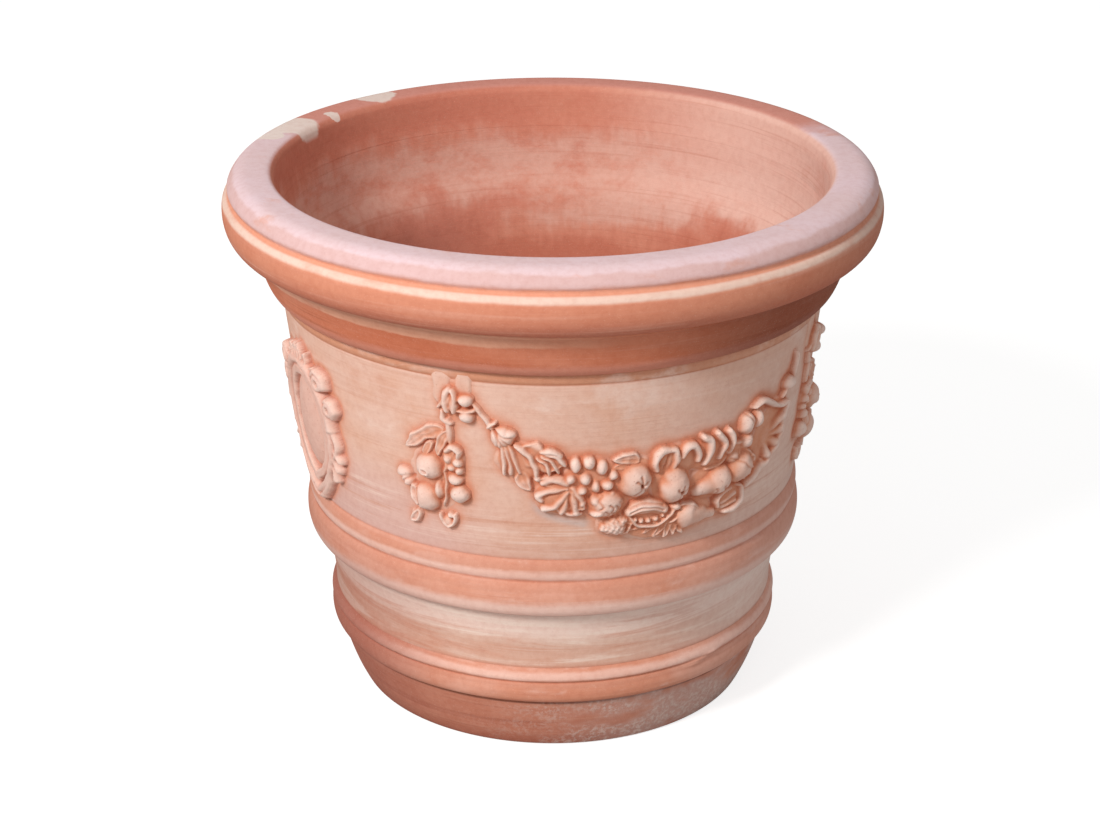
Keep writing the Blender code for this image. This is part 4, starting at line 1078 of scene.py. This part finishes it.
def clay_wall(name, base, warm, dark, pale):
    """Plain parts of the wall: pale slip with streaks and warmer blotches."""
    clay = Clay(name, (7.0, 11.0, 0.5, 1.0), base, warm)
    bloom = clay.noise(13.0, 20.0, 5.0, 0.65, 0.3, seed=2.0)
    wash = clay.noise(5.0, 75.0, 5.0, 0.65, 0.6, seed=71.0)
    stroke = clay.noise(5.0, 210.0, 4.0, warp=0.3, seed=15.0)
    clay.coat(pale, (bloom, 0.54, 0.70, 0.65))
    clay.coat((214, 154, 128), (bloom, 0.47, 0.33, 0.35))
    clay.streaks(dark, pale, 0.28)
    clay.coat((250, 224, 212), clay.between(clay.z, 0.132, 0.156, 0.018, 0.75))
    clay.coat((214, 158, 134), clay.between(clay.z, 0.090, 0.104, 0.016, 0.45))
    clay.coat((208, 156, 138), clay.between(clay.z, 0.200, 0.218, 0.014, 0.4))
    low = clay.mask((clay.z, 0.158, 0.140), (clay.z, 0.074, 0.088))
    clay.coat((208, 140, 114), low, (wash, 0.50, 0.60, 0.45))
    clay.coat((248, 228, 214), low, (wash, 0.48, 0.36, 0.55))
    lip = clay.between(clay.z, 0.3822, 0.400, 0.0010, 0.85)
    clay.coat((208, 136, 98), lip, (bloom, 0.75, 0.5))
    clay.coat((240, 217, 208), (clay.x, 0.05, 0.20), (clay.z, 0.48, 0.12, 0.6))
    clay.coat((220, 184, 180), (clay.x, -0.02, -0.13), (clay.z, 0.30, 0.24, 0.5), (clay.z, 0.16, 0.20))
    brushed = clay.mask((clay.z, 0.268, 0.250), (clay.z, 0.212, 0.226))
    bare = clay.calc("SUBTRACT", 1.0, clay.mark("halo"))
    clay.coat(pale, brushed, bare, (stroke, 0.54, 0.66, 0.7))
    clay.coat(dark, brushed, (stroke, 0.45, 0.34, 0.55))
    clay.wiped()
    clay.coat((204, 186, 180), clay.mark("smear"), 0.75)
    clay.coat(pale, clay.mark("proud"), 0.45)
    # Painted shade: a dark line in the crease under the middle band
    clay.coat((130, 84, 62), clay.between(clay.z, 0.1502, 0.1560, 0.0012, 0.65))
    clay.damp()
    clay.inside()
    return clay.finish((stroke, 0.3))


def clay_relief():
    """Pressed ornament: pale on its crowns, orange in its valleys that is partly painted shade, and painted
    shade in its hollows.
    """
    clay = Clay("pressed_clay", (38.0, 38.0, 0.0, 17.0), (222, 162, 134), (216, 146, 114), 0.68)
    pores = clay.noise(420.0, 420.0, 2.0, 0.5, seed=19.0)
    clay.coat((228, 184, 164), (clay.mark("rise"), 2.4, 1.4))
    clay.coat((242, 218, 208), clay.mark("crown"), (clay.cloud, 0.12, 0.40, 0.88))
    # Orange in the valleys: partly clay bared of slip, partly painted shade
    clay.coat((212, 132, 98), clay.mark("valley"), 0.85)
    clay.coat((230, 192, 180), (clay.x, -0.08, -0.19, 0.7))
    # Painted shade: darker clay in the hollows of the relief
    clay.coat((186, 106, 76), clay.mark("hollow"), 0.58)
    clay.coat((240, 210, 194), clay.mark("proud"), 0.42)
    clay.coat((180, 112, 86), (pores, 0.63, 0.72, 0.35))
    return clay.finish((pores, -0.5), (clay.cloud, 0.4), depth=0.0008)


# Dried splashes on the left of the lip: x, y and radius in metres
SPLASHES = (
    (-0.262, 0.078, 0.014), (-0.175, 0.212, 0.021), (-0.246, 0.112, 0.027), (-0.213, 0.150, 0.007),
)
SPLASH_LEVEL = 0.496


def clay_rim():
    """Rolled rim: thick bloom on top, a warm groove, a pale fillet and an orange ovolo."""
    clay = Clay("bloomed_rim", (10.0, 16.0, 0.4, 41.0), (222, 150, 122), (214, 136, 108))
    ragged = clay.noise(22.0, 60.0, 4.0, seed=43.0)
    torn = clay.noise(45.0, 45.0, warp=0.2, seed=47.0)
    level = clay.waver(clay.z, ragged, 0.008)
    # Darker clay low on the ovolo: partly its own colour, partly painted shade where it turns under
    clay.coat((190, 112, 88), (level, 0.464, 0.444, 0.8))
    clay.streaks((206, 124, 94), (238, 186, 166), 0.4, 0.3, 0.5)
    clay.coat((206, 128, 98), clay.between(level, 0.4560, 0.4690, 0.003, 0.35))
    fillet = clay.mask((clay.waver(clay.z, ragged, 0.003), 0.4706, 0.4740), (clay.z, 0.4800, 0.4772))
    clay.coat((238, 208, 192), fillet, (ragged, 0.1, 0.5, 0.92))
    clay.coat((228, 158, 130), (clay.z, 0.4768, 0.4784), (clay.z, 0.4850, 0.4826))
    bloom = clay.mix(clay.step(clay.cloud, 0.3, 0.7), tone((234, 208, 214)), tone((230, 202, 204)))
    bloom = clay.mix(clay.step(ragged, 0.58, 0.72, 0.6), bloom, tone((226, 162, 138)))
    clay.coat((214, 146, 134), (clay.z, 0.4815, 0.4868, 0.8))
    front = clay.mask((level, 0.4815, 0.4868), (clay.waver(clay.y, ragged, 0.10), 0.135, 0.075, 0.96))
    clay.colour = clay.mix(front, clay.colour, bloom)
    clay.coat((212, 166, 156), clay.between(level, 0.4835, 0.4925, 0.003, 0.55))
    clay.inside()
    white = 0.0
    for x, y, radius in SPLASHES:
        white = clay.calc("MAXIMUM", white, clay.spot((x, y, SPLASH_LEVEL), radius, torn, 0.016))
    clay.coat((238, 222, 212), white, (clay.z, 0.484, 0.490, 0.85))
    # Painted shade: the right side of the rim's face a little darker and greyer
    clay.coat((150, 108, 98), (clay.x, 0.20, 0.30), (clay.z, 0.486, 0.478, 0.3))
    # Painted shade in the creases low on the rim
    clay.coat((150, 84, 64), clay.mark("hollow"), (clay.z, 0.468, 0.455, 0.5))
    return clay.finish((ragged, 0.3))


def clay_moulding():
    """Bands: orange clay with paler smears on the edges that hands have touched."""
    clay = Clay("rubbed_band", (9.0, 20.0, 0.5, 51.0), (226, 166, 144), (216, 144, 116), 0.68)
    rub = clay.noise(18.0, 55.0, 5.0, 0.65, 0.3, seed=53.0)
    clay.coat((236, 196, 182), (rub, 0.53, 0.70, 0.5))
    clay.streaks((196, 116, 90), (238, 200, 186), 0.3)
    level = clay.waver(clay.z, rub, 0.009)
    warm, pale = (210, 145, 121), (248, 216, 204)
    for tint, low, high, soft, most in (
        (warm, 0.200, 0.215, 0.004, 0.5), (warm, 0.1800, 0.1885, 0.004, 0.55),
        (warm, 0.074, 0.0785, 0.003, 0.4), (pale, 0.1920, 0.1955, 0.005, 0.5),
        (pale, 0.150, 0.163, 0.008, 0.7), (pale, 0.0825, 0.0860, 0.004, 0.5),
    ):
        clay.coat(tint, clay.between(level, low, high, soft, most))
    # Painted shade in the hollows of the bands
    clay.coat((190, 112, 84), clay.mark("hollow"), 0.7)
    # Painted shade: dark lines in the creases under both bands
    for crease in (0.1532, 0.0568):
        clay.coat((122, 76, 56), clay.between(clay.z, crease - 0.001, crease, 0.001, 0.75))
    clay.coat((206, 172, 164), (clay.x, 0.08, 0.22, 0.3))
    clay.damp(0.9)
    clay.inside()
    return clay.finish((rub, 0.3))


def clay_collar():
    """Collar: deep orange, a pale smeared strip at its top, a pinker foot, painted shade in its creases and
    on its right side.
    """
    clay = Clay("deep_collar", (9.0, 16.0, 0.5, 51.0), (212, 132, 102), (202, 116, 84), 0.68)
    rub = clay.noise(14.0, 50.0, 5.0, 0.65, 0.3, seed=53.0)
    level = clay.waver(clay.z, rub, 0.012)
    clay.streaks((164, 86, 60), (226, 160, 138), 0.4)
    strip = clay.mask((level, 0.4225, 0.4250), (clay.x, 0.10, -0.08, 0.75))
    clay.coat((228, 172, 144), strip, (rub, 0.25, 0.5))
    clay.coat((212, 142, 122), (level, 0.4070, 0.4010, 0.7))
    # Painted shade in the collar's hollows
    clay.coat((158, 84, 60), clay.mark("hollow"), 0.7)
    # Painted shade: the right side of the collar darker, away from the light under the rim
    clay.coat((112, 56, 40), (clay.x, 0.06, 0.20), (clay.z, 0.385, 0.395, 0.62))
    clay.inside()
    return clay.finish((rub, 0.3))


def clay_heel():
    """Foot of the pot: darker clay with a crust of lime that the wet has drawn out."""
    clay = Clay("damp_heel", (12.0, 26.0, 0.4, 61.0), (196, 126, 102), (206, 140, 116))
    crust = clay.noise(16.0, 30.0, warp=0.2, seed=63.0)
    specks = clay.noise(260.0, 260.0, 4.0, 0.7, seed=67.0)
    # Painted shade: a dark line in the crease under the low band
    clay.coat((122, 76, 56), clay.between(clay.z, 0.0535, 0.060, 0.0015, 0.7))
    clay.coat((158, 88, 70), (clay.z, 0.02, 0.0, 0.5))
    clay.streaks((160, 88, 70), (214, 158, 134), 0.4)
    clay.coat((208, 180, 172), (crust, 0.30, 0.55), (clay.x, -0.02, 0.12, 0.6))
    lime = clay.mask((crust, 0.40, 0.60), (specks, 0.44, 0.60), (clay.x, -0.12, 0.10, 0.9))
    lime = clay.mask(lime, (clay.z, 0.062, 0.045, 0.8))
    clay.coat((222, 200, 190), lime)
    # Painted shade in the heel's hollows
    clay.coat((140, 76, 58), clay.mark("hollow"), 0.7)
    clay.damp(0.7)
    clay.inside()
    return clay.finish((lime, 0.6))


# The set

LAMP_TARGET = (0.0, 0.0, 0.28)
# Place, size in metres, power in watts and tint
LAMPS = {
    "key": ((-1.8, -2.5, 2.5), 0.9, 100.0, (1.0, 0.985, 0.965)),
    "fill": ((1.2, -2.8, 1.6), 2.0, 8.0, (1.0, 0.99, 0.98)),
}
SKY = (1.0, 0.985, 0.97, 1.0)
SKY_LIGHT, SKY_SEEN = 0.46, 1.0
FLOOR_EDGE = 14.0
FLOOR_GREY = (0.50, 0.50, 0.50, 1.0)
FLOOR_GLOW = 0.74
CAMERA_PLACE = (-0.0026, -2.1687, 1.1802)
CAMERA_TILT = 66.82
CAMERA_LENS, CAMERA_SENSOR = 81.8, 36.0


def put(name, data, place=(0.0, 0.0, 0.0), turn=(0.0, 0.0, 0.0)):
    """New object at a place."""
    obj = bpy.data.objects.new(name, data)
    obj.location = place
    obj.rotation_euler = turn
    bpy.context.scene.collection.objects.link(obj)
    return obj


def lamp(name, place, size, power, tint):
    """Round lamp that shines at the pot's middle."""
    data = bpy.data.lights.new(name, "AREA")
    data.shape = "DISK"
    data.size = size
    data.energy = power
    data.color = tint
    x, y, z = np.array(LAMP_TARGET) - np.array(place)
    put(name, data, place, (math.atan2(math.hypot(x, y), -z), 0.0, math.atan2(y, x) - 0.5 * math.pi))


def floor():
    """Pale floor that keeps the pot's shadow."""
    mesh = bpy.data.meshes.new("floor")
    corners = [(x * FLOOR_EDGE, y * FLOOR_EDGE, 0.0) for x, y in ((-1, -1), (1, -1), (1, 1), (-1, 1))]
    mesh.from_pydata(corners, [], [(0, 1, 2, 3)])
    put("floor", mesh)
    material = bpy.data.materials.new("floor")
    nodes = Nodes(material)
    nodes.tree.nodes.remove(nodes.tree.nodes["Principled BSDF"])
    seen = nodes.add("LightPath").outputs["Is Camera Ray"]
    glow = nodes.add("Math", {0: seen, 1: FLOOR_GLOW}, operation="MULTIPLY").outputs[0]
    matte = nodes.add("BsdfDiffuse", {"Color": FLOOR_GREY}).outputs[0]
    light = nodes.add("Emission", {"Strength": glow}).outputs[0]
    both = nodes.add("AddShader", {0: matte, 1: light}).outputs[0]
    nodes.plug(nodes.tree.nodes["Material Output"], {"Surface": both})
    mesh.materials.append(material)


def daylight():
    """Even white surroundings, seen as plain white by the camera."""
    world = bpy.data.worlds.new("studio")
    bpy.context.scene.world = world
    nodes = Nodes(world)
    seen = nodes.add("LightPath").outputs["Is Camera Ray"]
    level = nodes.add("MapRange", {"Value": seen, "To Min": SKY_LIGHT, "To Max": SKY_SEEN})
    nodes.plug(nodes.tree.nodes["Background"], {"Color": SKY, "Strength": level.outputs["Result"]})


def stand_camera():
    """Camera that was fitted to the photo."""
    data = bpy.data.cameras.new("camera")
    data.lens = CAMERA_LENS
    data.sensor_width = CAMERA_SENSOR
    tilt = (math.radians(CAMERA_TILT), 0.0, 0.0)
    bpy.context.scene.camera = put("camera", data, CAMERA_PLACE, tilt)


# The pot


def wall_marks(grid, relief):
    """Marks for the colours of the wall, with its creases, edges and inner side."""
    at, normal, spans, phi, r, z = grid
    angle = np.broadcast_to(phi, z.shape)
    run = np.concatenate([[0.0], np.cumsum(np.linalg.norm(np.diff(at[:, 0], axis=0), axis=1))]) / MM
    soft = at.copy()
    for row in range(len(z)):
        near = np.exp(-(((run - run[row]) / CREASE_REACH) ** 2))
        soft[row] = np.tensordot(near / near.sum(), at, axes=(0, 0))
    bulge = np.sum((at - soft) * normal, axis=-1) / MM
    inner = np.zeros(z.shape)
    inner[spans["inside"][0] :] = 1.0
    rim = slice(spans["rim"][0], spans["rim"][1] + 1)
    inner[rim] = np.where(r[rim] < MOUTH_RADIUS, fade((MOUTH_TOP - z[rim]) / 2.0), 0.0)
    marks = {
        # Hollows are the creases that the materials darken as painted shade
        "hollow": fade(-bulge * 1.6) * (1.0 - inner),
        "proud": fade(bulge * 1.2) * (1.0 - inner),
        "inner": inner,
    }
    for name in ("halo", "valley", "smear"):
        marks[name] = np.where(inner > 0.5, 0.0, sample(relief[name], angle, z))
    return marks


def build_wall(grid, marks):
    """The five turned stages of the pot."""
    at, normal, spans, phi, r, z = grid
    sand = clay_wall("sandy_wall", (228, 192, 174), (222, 174, 152), (202, 146, 122), (240, 216, 202))
    beige = clay_wall("slipped_wall", (230, 190, 172), (224, 175, 151), (208, 148, 122), (238, 208, 194))
    first, last = spans["inside"]
    level = z[first:].mean(axis=1)
    high, middle, low = (first + int(np.argmin(np.abs(level - cut))) for cut in INNER_CUTS)
    collar_rows = (spans["collar"], (spans["rim"][1], high))
    pieces = (
        ("pot_heel", (spans["heel"], (low, last)), clay_heel(), ("floor_slab", "heel_wall"), "clay_heel"),
        ("pot_lower_wall", (spans["lower_wall"], (middle, low)), sand, ("lower_wall",), "clay_wall"),
        ("pot_upper_wall", (spans["upper_wall"], (high, middle)), beige, ("upper_wall",), "clay_wall"),
        ("pot_collar", collar_rows, clay_collar(), ("collar",), "clay_collar"),
        ("pot_rim", (spans["rim"],), clay_rim(), ("rim_ring",), "clay_rim"),
    )
    for name, bands, material, nodes, slot in pieces:
        piece = ring_piece(name, at, normal, bands, marks, material)
        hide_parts(*nodes)


def build_bands(grid, marks):
    """The two mouldings luted round the wall, each closed at its back."""
    at, normal, spans, phi, r, z = grid
    clay = clay_moulding()
    for side, back in BAND_BACKS.items():
        first, last = spans[side + "_band"]
        own = slice(first, last + 1)
        ends = [first, first]
        heights = (z[last].mean() - 1.0, z[first].mean() + 1.0)
        tails = [on_pot(back, phi[0], 0.0 * phi[0] + height) for height in heights]
        closed = np.concatenate([at[own], tails])
        outward = np.concatenate([normal[own], -normal[ends]])
        values = {mark: np.concatenate([value[own], 0.0 * value[ends]]) for mark, value in marks.items()}
        rows = ((0, last - first + 2),)
        piece = ring_piece("pot_" + side + "_moulding", closed, outward, rows, values, clay)
        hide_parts(side + "_band")


def build():
    """The whole pot: wall, bands and ornament."""
    height, label, names = relief_map()
    relief = relief_values(height)
    grid = wall_grid()
    marks = wall_marks(grid, relief)
    build_wall(grid, marks)
    build_bands(grid, marks)
    relief_pieces(height, label, names, relief, clay_relief())


build()
floor()
daylight()
for name, settings in LAMPS.items():
    lamp(name, *settings)
stand_camera()
bpy.context.scene.view_settings.view_transform = "Standard"
